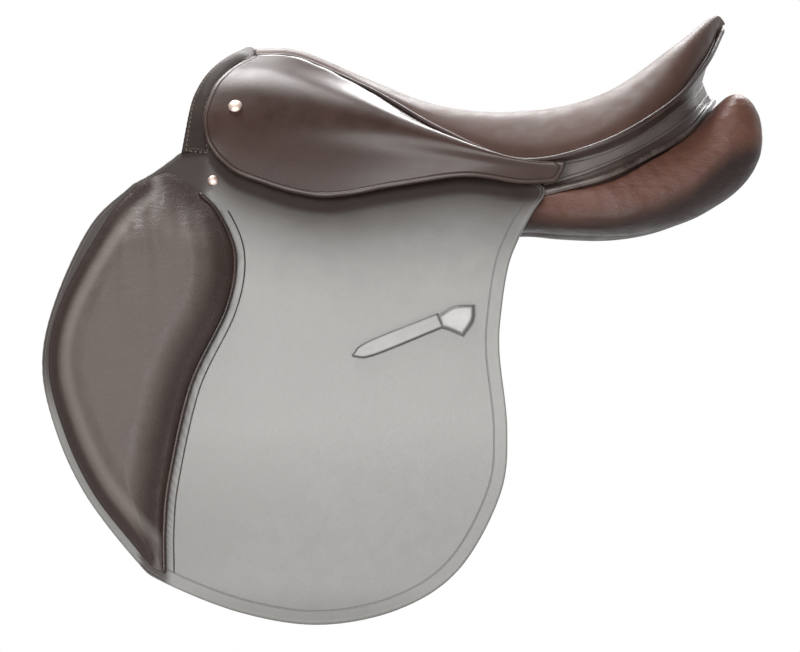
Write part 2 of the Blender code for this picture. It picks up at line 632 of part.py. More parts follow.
def strap_plan():
    """Flat strap, as points (across, z) and faces, with punched holes."""
    rows, holes = strap_rows()
    points = [(a * STRAP_HALF_WIDTH, z) for z in rows for a in (-1, 0, 1)]
    tip = len(points)
    points += [(-STRAP_TIP_HALF_WIDTH, STRAP_TIP_Z),
               (STRAP_TIP_HALF_WIDTH, STRAP_TIP_Z)]
    last = tip - 3
    faces = [(last, tip, last + 1), (last + 1, tip, tip + 1),
             (last + 1, tip + 1, last + 2)]
    for r in range(len(rows) - 1):
        a, b = 3 * r, 3 * r + 3
        if r not in holes:
            faces += [(a, b, b + 1, a + 1), (a + 1, b + 1, b + 2, a + 2)]
            continue
        middle = (rows[r] + rows[r + 1]) / 2
        start = len(points)
        points += [(x, middle + z) for x, z in circle(HOLE_RADIUS, 8)]
        points += [(-STRAP_HALF_WIDTH, middle), (STRAP_HALF_WIDTH, middle)]
        west, east = start + 8, start + 9
        border = [east, a + 2, a + 1, a, west, b, b + 1, b + 2]
        for k in range(8):
            m = (k + 1) % 8
            faces.append((border[k], border[m], start + m, start + k))
    return np.array(points), faces


def layer_w(x, z, depth):
    """Half width of the flat layer the straps hang in."""
    middle = STRAP_X[1]
    return flap_w(middle, z, depth) + LAYER_SLOPE * (x - middle)


def strap_pivot(x):
    depth = STRAP_DEPTH + STRAP_THICK / 2
    return (x, layer_w(x, STRAP_PIVOT_Z, depth), STRAP_PIVOT_Z)


def make_straps():
    plan, faces = strap_plan()
    for number, x in enumerate(STRAP_X, start=1):
        w = layer_w(x + plan[:, 0], plan[:, 1], STRAP_DEPTH)
        outer = np.stack([x + plan[:, 0], w, plan[:, 1]], axis=1)
        inner = outer - np.array([0, STRAP_THICK, 0])
        points, solid = thick(outer, inner, faces)
        for label, side in SIDES.items():
            node(f"{label}_girth_strap_{number}", points, solid,
                 "skirt_leather", side, strap_pivot(x))


def make_buckle_guards():
    """Flat leather sleeve round the three straps, above the buckles."""
    x0 = STRAP_X[0] - STRAP_HALF_WIDTH - GUARD_SIDE_ROOM
    x1 = STRAP_X[2] + STRAP_HALF_WIDTH + GUARD_SIDE_ROOM
    levels = np.linspace(GUARD_TOP_Z, GUARD_BOTTOM_Z, GUARD_LEVELS)
    wall, room = GUARD_WALL, GUARD_ROOM
    rings = []
    for grow in (0.0, wall):
        for z in levels:
            w0 = layer_w(x0, z, GUARD_DEPTH + wall)
            w1 = layer_w(x1, z, GUARD_DEPTH + wall)
            rings.append([(x0 - grow, w0 + grow, z), (x1 + grow, w1 + grow, z),
                          (x1 + grow, w1 - room - grow, z),
                          (x0 - grow, w0 - room - grow, z)])
    points = [p for ring in rings for p in ring]
    outer, foot = 4 * GUARD_LEVELS, 4 * (GUARD_LEVELS - 1)
    faces = []
    for r in range(GUARD_LEVELS - 1):
        for c in range(4):
            d = (c + 1) % 4
            a, b = 4 * r, 4 * r + 4
            faces.append((a + c, b + c, b + d, a + d))
            faces.append((outer + a + d, outer + b + d,
                          outer + b + c, outer + a + c))
    for c in range(4):
        d = (c + 1) % 4
        faces.append((c, d, outer + d, outer + c))
        faces.append((foot + d, foot + c, outer + foot + c, outer + foot + d))
    for label, side in SIDES.items():
        node(label + "_buckle_guard", points, faces, "dark_leather", side,
             strap_pivot(STRAP_X[1]))


def make_webs():
    for name, (x0, x1), slope, half in (
            ("front_girth_web", FRONT_WEB_X, FRONT_WEB_SLOPE, FRONT_WEB_PATH),
            ("rear_girth_web", REAR_WEB_X, REAR_WEB_SLOPE, REAR_WEB_PATH)):
        middle = (x0 + x1) / 2
        half = curve([(middle, w, z) for w, z in half[::-1]], WEB_COLUMNS)
        rings = sweep(mirrored(half), bar(x1 - x0, WEB_THICK), (1, 0, slope))
        node(name, *loft(rings), "web")
    path = []
    for x in np.linspace(*SEAT_WEB_X, SEAT_WEB_COLUMNS):
        path.append((x, 0.0, seat_height(x, 0.0) - SEAT_WEB_DEPTH))
    rings = sweep(path, bar(2 * SEAT_WEB_HALF_WIDTH, WEB_THICK), (0, 1, 0))
    node("seat_web", *loft(rings), "web")


# ---------------------------------------------------------------- tree

def make_tree():
    path = mirrored(curve(ARCH_PATH[::-1], ARCH_COUNT))
    rings = sweep(path, bar(ARCH_BREADTH, ARCH_THICK), (1, 0, 0))
    node("head_arch", *loft(rings), "beech")

    fine = 4 * ARCH_COUNT
    covered = curve(ARCH_PATH, fine)[:int(fine * PLATE_STOP)]
    path = mirrored(curve(covered[::-1], PLATE_COUNT))
    tangent = np.gradient(path, axis=0)
    inward = np.cross(tangent, np.array([1.0, 0, 0]))
    inward /= np.linalg.norm(inward, axis=1, keepdims=True)
    inward *= -np.sign(inward[len(inward) // 2, 2])
    path = path + inward * (ARCH_THICK / 2 + PLATE_THICK / 2 + PLATE_GAP)
    rings = sweep(path, bar(ARCH_BREADTH, PLATE_THICK), (1, 0, 0))
    node("gullet_plate", *loft(rings), "steel")

    rail = curve(RAIL_PATH, RAIL_COUNT)
    spring = rail[1:-1] - np.array(
        [0, 0, RAIL_THICK / 2 + SPRING_THICK / 2 + SPRING_GAP])
    for label, side in SIDES.items():
        rings = sweep(rail, bar(RAIL_WIDTH, RAIL_THICK), (0, 1, 0))
        node(label + "_tree_rail", *loft(rings), "beech", side)
        rings = sweep(spring, bar(SPRING_WIDTH, SPRING_THICK), (0, 1, 0))
        node(label + "_spring", *loft(rings), "steel", side)


def button(centre, direction, radius, height):
    """Low dome with a flat back, such as a nail or rivet head."""
    direction = np.array(direction) / np.linalg.norm(direction)
    side = np.cross(direction, (0.0, 0.0, 1.0))
    side /= np.linalg.norm(side)
    lift = np.cross(direction, side)
    rings = []
    for r, h in DOME:
        rings.append([np.array(centre) + direction * height * h
                      + side * a * r + lift * b * r
                      for a, b in circle(radius, DOME_SIDES)])
    return loft(rings)


def make_stirrup_bars():
    (wt, zt), (wf, zf) = BAR_PLATE_TOP, BAR_PLATE_FOOT
    x0, x1 = BAR_PLATE_X
    slope = np.array([0.0, zt - zf, wf - wt])
    slope /= np.linalg.norm(slope)
    grid = np.array([[(x, wt, zt) for x in (x0, x1)],
                     [(x, wf, zf) for x in (x0, x1)]])
    hook_path = np.array([(x, w, HOOK_Z) for x, w in HOOK_PATH])
    hook = loft(sweep(hook_path, bar(HOOK_HEIGHT, HOOK_THICK), (0, 0, 1)))
    catch_w = HOOK_PATH[-1][1] + HOOK_THICK / 2 + GAP
    for label, side in SIDES.items():
        plate = sheet(label + "_stirrup_bar", grid, BAR_PLATE_THICK, "steel",
                      side)
        tool = node(label + "_hook_form", *hook, "steel", side)
        tool.hide_render = True
        tool.display_type = "WIRE"
        join = plate.modifiers.new("hook", "BOOLEAN")
        join.operation = "UNION"
        join.solver = "EXACT"
        join.object = tool

        make_catch(label, side, catch_w)
        for number, x in enumerate(RIVET_X, start=1):
            z = zt - RIVET_DROP
            w = wt + (wf - wt) * (zt - z) / (zt - zf)
            centre = np.array([x, w, z]) + slope * GAP
            node(f"{label}_bar_rivet_{number}",
                 *button(centre, slope, RIVET_RADIUS, RIVET_HEIGHT),
                 "steel", side)


def make_catch(label, side, w):
    """Finger that flips up behind the stirrup leather, and its pin."""
    half, sides = CATCH_HEIGHT / 2, CATCH_SIDES
    outline = []
    for k in range(sides):
        turn = 2 * math.pi * k / sides
        shift = CATCH_LENGTH - CATCH_HEIGHT if math.cos(turn) > GAP else 0.0
        outline.append((CATCH_X + shift + half * math.cos(turn),
                        HOOK_Z + half * math.sin(turn)))
    hole = []
    for x, z in outline:
        turn = math.atan2(z - HOOK_Z, x - CATCH_X)
        reach = PIN_RADIUS + GAP
        hole.append((CATCH_X + reach * math.cos(turn),
                     HOOK_Z + reach * math.sin(turn)))
    plan = np.array(outline + hole)
    outer = np.insert(plan, 1, w + CATCH_THICK, axis=1)
    inner = outer - np.array([0, CATCH_THICK, 0])
    faces = [(k, sides + k, sides + (k + 1) % sides, (k + 1) % sides)
             for k in range(sides)]
    node(label + "_bar_catch", *thick(outer, inner, faces), "steel", side,
         (CATCH_X, w, HOOK_Z))

    rings, neck = [], CATCH_THICK + GAP
    for radius, reach in ((PIN_RADIUS, 0.0), (PIN_RADIUS, neck),
                          (PIN_HEAD, neck), (PIN_HEAD, neck + PIN_HEAD_THICK)):
        rings.append([(CATCH_X + a, w + reach, HOOK_Z + b)
                      for a, b in circle(radius, PIN_SIDES)])
    node(label + "_catch_pin", *loft(rings), "steel", side)


# ------------------------------------------------- cantle and facings

def lining_halves(count):
    """Cantle lining's upper and lower edge on the off side, to the centre."""
    station = np.linspace(0, len(SEAT_CENTRE) - 1, SEAT_ROWS)
    keep = station >= LINING_TOP_START
    rim = (EDGE - SEAT_UP[:, -1] * (SEAT_LEATHER + LINING_GAP)
           - EDGE_OUT * RIM_INSET)[keep]
    tip = rim[-1] * np.array([1.0, 0.0, 1.0])
    upper = curve([*rim, tip], count)
    lower = curve(FACING_TOP[1:], count) + np.array([0, 0, LINING_FOOT_GAP])
    return upper, lower


def make_cantle():
    upper, lower = lining_halves(TRIM_COLUMNS)
    upper, lower = mirrored(upper), mirrored(lower)
    grid = np.stack([upper * (1 - t) + lower * t
                     for t in np.linspace(0, 1, LINING_ROWS)])
    n = normals(grid)
    sheet("cantle_lining", grid, FACING_LEATHER, "dark_leather", n=n)

    low, high = CANTLE_SHARE
    inside = np.stack([upper * (1 - t) + lower * t
                       for t in np.linspace(low, high, LINING_ROWS)])
    inside = inside[:, CANTLE_COLUMNS]
    n = normals(inside)
    inside = inside - n * (FACING_LEATHER + CANTLE_GAP)
    sheet("cantle_board", inside, CANTLE_THICK, "beech", n=n)

    top = mirrored(curve(FACING_TOP, TRIM_COLUMNS))
    foot = mirrored(curve(FACING_FOOT, TRIM_COLUMNS))
    grid = np.stack([top * (1 - t) + foot * t
                     for t in np.linspace(0, 1, FACING_ROWS)])
    sheet("rear_facing", grid, FACING_LEATHER, "dark_leather")

    path = mirrored(curve(PIPING_PATH, TRIM_COLUMNS + 1))
    rings = sweep(path, circle(PIPING_RADIUS, CORD_SIDES), (0, 0, 1))
    node("panel_piping", *loft(rings), "dark_leather")


def make_pommel_facing():
    front = mirrored(curve(POMMEL_FRONT, TRIM_COLUMNS))
    back = mirrored(curve(POMMEL_BACK, TRIM_COLUMNS))
    middle = (front + back) / 2
    middle[:, 2] += POMMEL_PADDING
    grid = np.stack([front, middle, back])
    sheet("pommel_facing", grid, FACING_LEATHER, "seat_leather")


# -------------------------------------------------------------- panels

def panel_ring(x, w, z, wide, high, roll):
    """Rounded cross-section of the cushion at one station."""
    turn = math.radians(-roll)
    ring = []
    for k in range(PANEL_SIDES):
        t = 2 * math.pi * (k + 0.5) / PANEL_SIDES
        c, s = math.cos(t), math.sin(t)
        a = wide * math.copysign(abs(c) ** (2 / PANEL_SQUARENESS), c)
        b = high * math.copysign(abs(s) ** (2 / PANEL_SQUARENESS), s)
        ring.append((x, w + a * math.cos(turn) - b * math.sin(turn),
                     z + a * math.sin(turn) + b * math.cos(turn)))
    return ring


def make_panels():
    rings = [panel_ring(*station) for station in PANEL_STATIONS]
    for label, side in SIDES.items():
        node(label + "_panel", *loft(rings), "panel_leather", side)


def make_point_pockets():
    x0, x1 = POCKET_X
    count = POCKET_COUNT
    plan = np.array([[(x, z) for x in np.linspace(x0, x1, count)]
                     for z in np.linspace(POCKET_TOP_Z, POCKET_FOOT_Z, count)])
    grid = on_flap(plan, POCKET_DEPTH)
    for label, side in SIDES.items():
        sheet(label + "_point_pocket", grid, POCKET_THICK, "dark_leather", side)


def make_flap_nails():
    x, z = FLAP_NAIL
    centre = (x, flap_w(x, z) + FLAP_NAIL_GAP, z)
    for label, side in SIDES.items():
        node(label + "_flap_nail",
             *button(centre, FLAP_NAIL_WAY, FLAP_NAIL_RADIUS, NAIL_HEIGHT),
             "brass", side)


def main():
    for old in list(bpy.data.objects):
        bpy.data.objects.remove(old, do_unlink=True)
    make_seat()
    make_skirts()
    make_flaps()
    make_flap_fittings()
    make_sweat_flaps()
    make_straps()
    make_buckle_guards()
    make_webs()
    make_tree()
    make_stirrup_bars()
    make_cantle()
    make_pommel_facing()
    make_panels()
    make_point_pockets()
    make_flap_nails()


main()
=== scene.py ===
"""Looks of the english saddle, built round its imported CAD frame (Blender 4.5)."""

import math

import bmesh
import bpy
import numpy as np
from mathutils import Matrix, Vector, kdtree


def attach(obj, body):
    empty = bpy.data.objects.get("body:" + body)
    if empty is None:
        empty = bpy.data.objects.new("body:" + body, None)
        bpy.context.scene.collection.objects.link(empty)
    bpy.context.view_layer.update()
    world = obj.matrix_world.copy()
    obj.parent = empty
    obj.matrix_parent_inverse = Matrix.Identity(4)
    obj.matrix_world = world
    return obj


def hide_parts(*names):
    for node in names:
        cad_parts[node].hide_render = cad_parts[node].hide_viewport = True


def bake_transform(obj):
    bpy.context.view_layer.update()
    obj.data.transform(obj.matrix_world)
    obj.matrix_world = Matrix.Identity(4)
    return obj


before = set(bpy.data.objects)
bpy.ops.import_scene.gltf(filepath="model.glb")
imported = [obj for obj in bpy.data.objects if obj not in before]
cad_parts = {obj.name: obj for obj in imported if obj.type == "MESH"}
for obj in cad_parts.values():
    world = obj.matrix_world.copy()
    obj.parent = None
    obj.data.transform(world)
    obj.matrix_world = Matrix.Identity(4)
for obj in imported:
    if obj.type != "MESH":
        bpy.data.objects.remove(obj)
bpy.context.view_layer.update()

SIDES = {"near": -1, "off": 1}
SEAT_LEATHER, SKIRT_LEATHER, FLAP_LEATHER = 0.003, 0.004, 0.0045
FACING_LEATHER, KEEPER_LEATHER = 0.0025, 0.003
WELT_RADIUS = 0.0025

SEAT_CENTRE = [
    (-0.1238, 0.1634), (-0.0860, 0.1616), (-0.0301, 0.1384),
    (0.0344, 0.1122), (0.1032, 0.1036), (0.1720, 0.1178),
    (0.2322, 0.1591), (0.2623, 0.1857), (0.2778, 0.1943),
]
SEAT_EDGE = [
    (-0.1220, 0.044, 0.1582), (-0.0847, 0.046, 0.1555),
    (-0.0295, 0.063, 0.1289), (0.0333, 0.092, 0.0919),
    (0.0990, 0.121, 0.0655), (0.1639, 0.141, 0.0776),
    (0.2228, 0.121, 0.1117), (0.2560, 0.072, 0.1476), (0.2769, 0.010, 0.1831),
]
SEAT_DROP_POWER = 3.0
DISH_DEPTH = 0.011
DISH_START, DISH_FULL = -0.02, 0.10
SKIRT_LAST_STATION = 4.5

SKIRT_BEND = [(-0.1644, 0.102, 0.095), (0.1340, 0.1385, 0.0530)]
SKIRT_FRONT = [(-0.1325, 0.058, 0.1495), (-0.1461, 0.0705, 0.1395),
               (-0.1564, 0.082, 0.1265), (-0.1639, 0.097, 0.1045)]
SKIRT_REAR_UPPER = (0.1352, 0.1395, 0.0600)
SKIRT_LOWER_FRONT = [(-0.1630, 0.105, 0.0870), (-0.1609, 0.107, 0.0786)]
SKIRT_LOWER_EDGE = [
    (-0.1499, 0.111, 0.0635), (-0.1281, 0.117, 0.0491),
    (-0.0659, 0.1255, 0.0323), (0.0000, 0.1265, 0.0415),
    (0.0537, 0.129, 0.0486), (0.0990, 0.131, 0.0427), (0.1280, 0.135, 0.0436),
]
SKIRT_BULGE = 0.010
SKIRT_UPPER_ROWS, SKIRT_LOWER_ROWS = 30, 24
SKIRT_UNDER_WELT = 0.0016
SKIRT_FOLD, FLAP_FOLD = 0.008, 0.006

FLAP_BEND = [(-0.2000, 0.1075, 0.0410), (0.0950, 0.1310, 0.0010)]
FLAP_UPPER_SPREAD, FLAP_SPREAD = 0.40, 0.17
FLAP_THROW, FLAP_THROW_HEIGHT = 0.0196, 0.07
FLAP_WRAP, FLAP_WRAP_X, FLAP_WRAP_HEIGHT = 0.30, -0.02, 0.10
BEND_FRONT, BEND_REAR = (-0.2216, 0.0442), (0.0985, 0.0010)
FLAP_FRONT = [(-0.2560, 0.0100), (-0.2850, -0.0530), (-0.2950, -0.1060),
              (-0.2830, -0.1590), (-0.2570, -0.2120), (-0.2150, -0.2640)]
FLAP_CORNER_FRONT, FLAP_CORNER_REAR = (-0.1930, -0.2810), (0.0480, -0.2690)
FLAP_BOTTOM = [(-0.1290, -0.3050), (-0.0640, -0.3140), (0.0000, -0.3010)]
FLAP_REAR = [(0.0895, -0.0220), (0.0835, -0.0560), (0.0810, -0.0940),
             (0.0870, -0.1580), (0.0810, -0.2100)]
ROOT_FRONT = [(-0.1800, 0.0720), (-0.1910, 0.0640), (-0.2060, 0.0530)]
ROOT_TOP = [(-0.1620, 0.0750), (-0.1420, 0.0710), (-0.1240, 0.0500),
            (-0.0330, 0.0490), (-0.0170, 0.0530), (0.0410, 0.0540), (0.0900, 0.0520)]
ROOT_REAR = [(0.1190, 0.0400), (0.1080, 0.0190)]
ROOT_FLARE = 0.008

PAD_TOP = [(-0.2190, 0.0420), (-0.1920, 0.0520), (-0.1660, 0.0360)]
PAD_REAR = [(-0.1500, 0.0190), (-0.1360, -0.0150), (-0.1420, -0.0590),
            (-0.1710, -0.1220), (-0.1880, -0.1990), (-0.1915, -0.2390)]
PAD_BOTTOM = [(-0.1910, -0.2740), (-0.2010, -0.2690), (-0.2100, -0.2600)]
PAD_FRONT = [(-0.2420, 0.0150), (-0.2790, -0.0530), (-0.2890, -0.1060),
             (-0.2760, -0.1590), (-0.2500, -0.2110)]
PAD_EDGE_THICK, PAD_THICK = 0.004, 0.019

KEEPER_ENDS = [(-0.0390, -0.0980), (0.0330, -0.0690)]
KEEPER_WIDTH, KEEPER_TAPER = 0.0125, 0.016
KEEPER_LIFT, TAB_PROUD = 0.0003, 0.0010
TAB_TOP = [(0.0300, -0.0655), (0.0440, -0.0572), (0.0610, -0.0560)]
TAB_FOOT = [(0.0335, -0.0750), (0.0420, -0.0778), (0.0515, -0.0822)]
TAB_REAR = [(0.0600, -0.0690)]

FACING_TOP = [(0.1180, 0.1120, 0.0600), (0.1647, 0.1250, 0.0695),
              (0.1982, 0.1175, 0.0850), (0.2390, 0.0745, 0.1143),
              (0.2520, 0.0400, 0.1275), (0.2597, 0.0000, 0.1372)]
FACING_FOOT = [(0.1180, 0.1120, 0.0410), (0.1576, 0.1190, 0.0522),
               (0.1973, 0.1080, 0.0703), (0.2273, 0.0850, 0.0881),
               (0.2490, 0.0550, 0.1058), (0.2657, 0.0000, 0.1221)]
PIPING_PATH = [(0.1180, 0.1190, 0.0360), (0.1674, 0.1220, 0.0490),
               (0.2039, 0.1080, 0.0665), (0.2396, 0.0830, 0.0870),
               (0.2600, 0.0450, 0.1090), (0.2690, 0.0000, 0.1185)]
PIPING_RADIUS = 0.0028
POMMEL_FRONT = [(-0.1822, 0.0985, 0.0690), (-0.1766, 0.0800, 0.1068),
                (-0.1713, 0.0700, 0.1242), (-0.1621, 0.0550, 0.1404),
                (-0.1487, 0.0350, 0.1538), (-0.1333, 0.0000, 0.1651)]
POMMEL_BACK = [(-0.1560, 0.0975, 0.0660), (-0.1600, 0.0885, 0.1040),
               (-0.1520, 0.0745, 0.1245), (-0.1395, 0.0590, 0.1395),
               (-0.1260, 0.0390, 0.1535), (-0.1205, 0.0000, 0.1592)]

PANEL_STATIONS = [
    (-0.1830, 0.062, 0.024, 0.012, 0.006, 52),
    (-0.1720, 0.060, 0.014, 0.033, 0.013, 52),
    (-0.1300, 0.060, 0.013, 0.040, 0.017, 48),
    (-0.0700, 0.060, 0.020, 0.038, 0.024, 38),
    (0.0000, 0.060, 0.026, 0.036, 0.028, 28),
    (0.0580, 0.060, 0.0265, 0.034, 0.025, 14),
    (0.1050, 0.071, 0.0255, 0.043, 0.0175, 0),
    (0.1400, 0.076, 0.0225, 0.045, 0.0170, 0),
    (0.1800, 0.077, 0.025, 0.045, 0.021, 3),
    (0.2120, 0.075, 0.034, 0.043, 0.027, 0),
    (0.2415, 0.073, 0.048, 0.040, 0.032, 0),
    (0.2620, 0.071, 0.067, 0.037, 0.040, 0),
    (0.2763, 0.070, 0.079, 0.034, 0.0425, 0),
    (0.2898, 0.070, 0.0835, 0.028, 0.033, 0),
    (0.2982, 0.070, 0.0845, 0.017, 0.018, 0),
    (0.3007, 0.070, 0.0850, 0.006, 0.006, 0),
]
PANEL_SQUARENESS, PANEL_LEAST = 2.6, 0.004

# Leather colours, linear
HAVANA = (0.056, 0.028, 0.021)
SEAT_BROWN = (0.088, 0.047, 0.036)
HAVANA_DARK = (0.022, 0.012, 0.010)
SKIRT_BROWN = (0.058, 0.031, 0.024)
# painted sheen: the flap's havana leather is coloured light grey for the studio light's glare on it
FLAP_SHEEN_GREY = (0.410, 0.403, 0.388)
FLAP_SHADE = (0.030, 0.018, 0.014)
# painted sheen and shade on the knee pad: a greyish centre for the glare on it, a dark border for
# the shaded sides of its rolls
PAD_CENTRE_SHEEN = (0.134, 0.106, 0.096)
PAD_BORDER_SHADE = (0.034, 0.019, 0.015)
PANEL_RED = (0.160, 0.070, 0.050)
PANEL_DARK = (0.024, 0.012, 0.010)
THREAD = (0.22, 0.18, 0.14)
# pale tone for worn edges and for painted highlights
PALE_WEAR_AND_HIGHLIGHT = (0.6, 0.55, 0.5)
BLACK = (0.0, 0.0, 0.0)
EDGE_WEAR, ROUGH_SPREAD = 0.25, 0.08


# ------------------------------------------------------------- curves

def spline(points, at):
    """Points of a smooth curve through the given ones, at station numbers."""
    p = np.array(points, float)
    p = np.vstack([2 * p[0] - p[1], p, 2 * p[-1] - p[-2]])
    at = np.atleast_1d(np.asarray(at, float))
    i = np.clip(at.astype(int), 0, len(p) - 4)
    t = (at - i)[:, None]
    a, b, c, d = p[i], p[i + 1], p[i + 2], p[i + 3]
    return 0.5 * (2 * b + (c - a) * t + (2 * a - 5 * b + 4 * c - d) * t**2
                  + (3 * b - a - 3 * c + d) * t**3)


def travelled(points, jump=math.inf):
    """Distance along a line of points; a step longer than jump adds nothing."""
    steps = np.linalg.norm(np.diff(points, axis=0), axis=1)
    steps = np.where(steps > jump, 0, steps)
    return np.concatenate([[0.0], np.cumsum(steps)])


def along_curve(points, shares):
    """Smooth curve through the points, cut at shares of its length."""
    fine = spline(points, np.linspace(0, len(points) - 1, 60 * len(points)))
    length = travelled(fine)
    at = np.asarray(shares) * length[-1]
    return np.stack([np.interp(at, length, axis) for axis in fine.T], axis=1)


def close_ends(count, first=0.0012):
    """Shares from 0 to 1 with extra lines close to both ends."""
    inner = np.linspace(0, 1, count)[1:-1]
    near = [0.0, first, 2.4 * first, 4.5 * first]
    inner = inner[(inner > 6 * first) & (inner < 1 - 6 * first)]
    return np.concatenate([near, inner, 1 - np.array(near[::-1])])


def patch(top, bottom, front, rear, us, vs):
    """Grid filling four border curves, at shares us across and vs down."""
    t, b = along_curve(top, us), along_curve(bottom, us)
    f, r = along_curve(front, vs), along_curve(rear, vs)
    u, v = us[None, :, None], vs[:, None, None]
    down = (1 - v) * t[None] + v * b[None]
    across = (1 - u) * f[:, None] + u * r[:, None]
    corners = ((1 - u) * (1 - v) * t[0] + u * (1 - v) * t[-1] + (1 - u) * v * b[0] + u * v * b[-1])
    return down + across - corners


def normals(grid):
    across = np.gradient(grid, axis=1)
    down = np.gradient(grid, axis=0)
    n = np.cross(across, down)
    length = np.linalg.norm(n, axis=2, keepdims=True)
    return n / np.maximum(length, 1e-12)


def both_sides(half, halves, us):
    """A near to off curve whose off half mirrors the given near half."""
    half = along_curve(half, halves)
    other = half[:-1][::-1] * np.array([1.0, -1.0, 1.0])
    return along_curve(np.vstack([half, other]), us)


def between(first, last, vs):
    """Grid of straight lines from one curve to another, cut at shares vs."""
    v = vs[:, None, None]
    return first[None] * (1 - v) + last[None] * v


def smoothstep(x, low, high):
    t = np.clip((x - low) / (high - low), 0, 1)
    return t * t * (3 - 2 * t)


# ------------------------------------------------------------- meshes

BORDERS = ("top", "rear", "bottom", "front")
BORDER_STEP, BORDER_JUMP = 0.0008, 0.05
TUBE_REFERENCE = np.array([0.35, 0.2, 0.92])
FAR_FROM_EDGE, FAR_FROM_LINE = 0.01, 0.5


def new_object(name, points, faces, material, attributes=None, smooth=True):
    """Mesh object in the row frame, turned outwards, with its attributes."""
    mesh = bpy.data.meshes.new(name)
    mesh.from_pydata(np.asarray(points).tolist(), [], [tuple(f) for f in faces])
    rest = mesh.attributes.new("rest", "FLOAT_VECTOR", "POINT")
    rest.data.foreach_set("vector", np.asarray(points, np.float32).ravel())
    for key, values in (attributes or {}).items():
        layer = mesh.attributes.new(key, "FLOAT", "POINT")
        layer.data.foreach_set("value", np.asarray(values, np.float32).ravel())
    work = bmesh.new()
    work.from_mesh(mesh)
    bmesh.ops.recalc_face_normals(work, faces=work.faces)
    if work.calc_volume(signed=True) < 0:
        bmesh.ops.reverse_faces(work, faces=work.faces)
    work.to_mesh(mesh)
    work.free()
    mesh.polygons.foreach_set("use_smooth", [smooth] * len(mesh.polygons))
    mesh.materials.append(material)
    obj = bpy.data.objects.new(name, mesh)
    bpy.context.scene.collection.objects.link(obj)
    return obj


def set_side(points, side):
    return np.asarray(points) * np.array([1.0, side, 1.0])


def grid_faces(rows, columns):
    a = (np.arange(rows - 1)[:, None] * columns + np.arange(columns - 1)).ravel()
    return [tuple(f) for f in np.stack([a, a + columns, a + columns + 1, a + 1], 1).tolist()]


def ring_faces(rings, sides):
    """Faces between rings of points, each ring round the same way."""
    return [(r * sides + k, r * sides + (k + 1) % sides,
             (r + 1) * sides + (k + 1) % sides, (r + 1) * sides + k)
            for r in range(rings - 1) for k in range(sides)]


def border_cells(rows, columns, borders=BORDERS):
    """Grid cells along the chosen borders, in the order of BORDERS."""
    cells = {"top": [(0, c) for c in range(columns)],
             "rear": [(r, columns - 1) for r in range(1, rows)],
             "bottom": [(rows - 1, c) for c in range(columns - 2, -1, -1)],
             "front": [(r, 0) for r in range(rows - 2, 0, -1)]}
    return [cell for b in BORDERS if b in borders for cell in cells[b]]


def nearest_on(path, points):
    """Index of the path's point nearest to each point, and its distance."""
    tree = kdtree.KDTree(len(path))
    for k, p in enumerate(path):
        tree.insert(p, k)
    tree.balance()
    found = [tree.find(p) for p in points]
    return np.array([f[1] for f in found]), np.array([f[2] for f in found])


def distance_to(grid, borders=BORDERS):
    """Distance to the chosen borders, and how far along them it is."""
    rows, columns = grid.shape[:2]
    points = np.array([grid[c] for c in border_cells(rows, columns, borders)])
    length = travelled(points, jump=BORDER_JUMP)
    fine = np.arange(0, length[-1], BORDER_STEP)
    dense = np.stack([np.interp(fine, length, axis) for axis in points.T], 1)
    nearest, away = nearest_on(dense, grid.reshape(-1, 3))
    return away.reshape(rows, columns), fine[nearest].reshape(rows, columns)


def closed_sheet(name, outer, inner, material, facts, side=1):
    """Two grids joined round their borders into one closed piece.

    facts are named grids; a pair of grids gives the inner face its own.
    """
    rows, columns = outer.shape[:2]
    count = rows * columns
    faces = grid_faces(rows, columns)
    back = [tuple(i + count for i in reversed(f)) for f in faces]
    ring = [r * columns + c for r, c in border_cells(rows, columns)]
    walls = [(a, b, b + count, a + count) for a, b in zip(ring, ring[1:] + ring[:1])]
    points = np.vstack([outer.reshape(-1, 3), inner.reshape(-1, 3)])
    pairs = {key: grid if isinstance(grid, tuple) else (grid, grid) for key, grid in facts.items()}
    both = {key: np.concatenate([grid.ravel() for grid in pair]) for key, pair in pairs.items()}
    return new_object(name, set_side(points, side), faces + back + walls, material, both)


def leather_sheet(name, grid, depth, material, side=1, round_edge=0.0014,
                  line_borders=("rear", "bottom"), shade=None, n=None, line_fade=0.0):
    """Leather cut from a grid: rounded edges, full thickness, attributes."""
    n = normals(grid) if n is None else n
    edge, _ = distance_to(grid)
    line, travel = distance_to(grid, line_borders)
    r = round_edge
    inside = np.clip(r - edge, 0, r)
    sink = (r - np.sqrt(np.maximum(r * r - inside * inside, 0)))[..., None]
    clear = np.zeros(edge.shape)
    facts = {"edge": edge, "line": line + line_fade, "along": travel,
             "shade": (clear if shade is None else shade, clear)}
    return closed_sheet(name, grid - n * sink, grid - n * (depth - sink), material, facts, side)


def tube(name, path, radius, material, side=1, sides=14):
    """Round cord along a path, with its length along it as an attribute."""
    path = np.array(path)
    forward = np.gradient(path, axis=0)
    forward /= np.linalg.norm(forward, axis=1, keepdims=True)
    across = np.cross(forward, TUBE_REFERENCE)
    across /= np.linalg.norm(across, axis=1, keepdims=True)
    lift = np.cross(forward, across)
    turns = np.linspace(0, 2 * math.pi, sides, endpoint=False)
    size = np.ones(len(path)) * radius
    size[[0, -1]] *= 0.5
    ring = (across[:, None] * np.cos(turns)[None, :, None]
            + lift[:, None] * np.sin(turns)[None, :, None])
    points = (path[:, None] + ring * size[:, None, None]).reshape(-1, 3)
    last = (len(path) - 1) * sides
    caps = [tuple(range(sides))[::-1], tuple(range(last, last + sides))]
    facts = {"along": np.repeat(travelled(path), sides),
             "edge": np.full(len(points), FAR_FROM_EDGE),
             "line": np.full(len(points), FAR_FROM_LINE), "shade": np.zeros(len(points))}
    return new_object(name, set_side(points, side),
                      ring_faces(len(path), sides) + caps, material, facts)


# ---------------------------------------------------------- materials

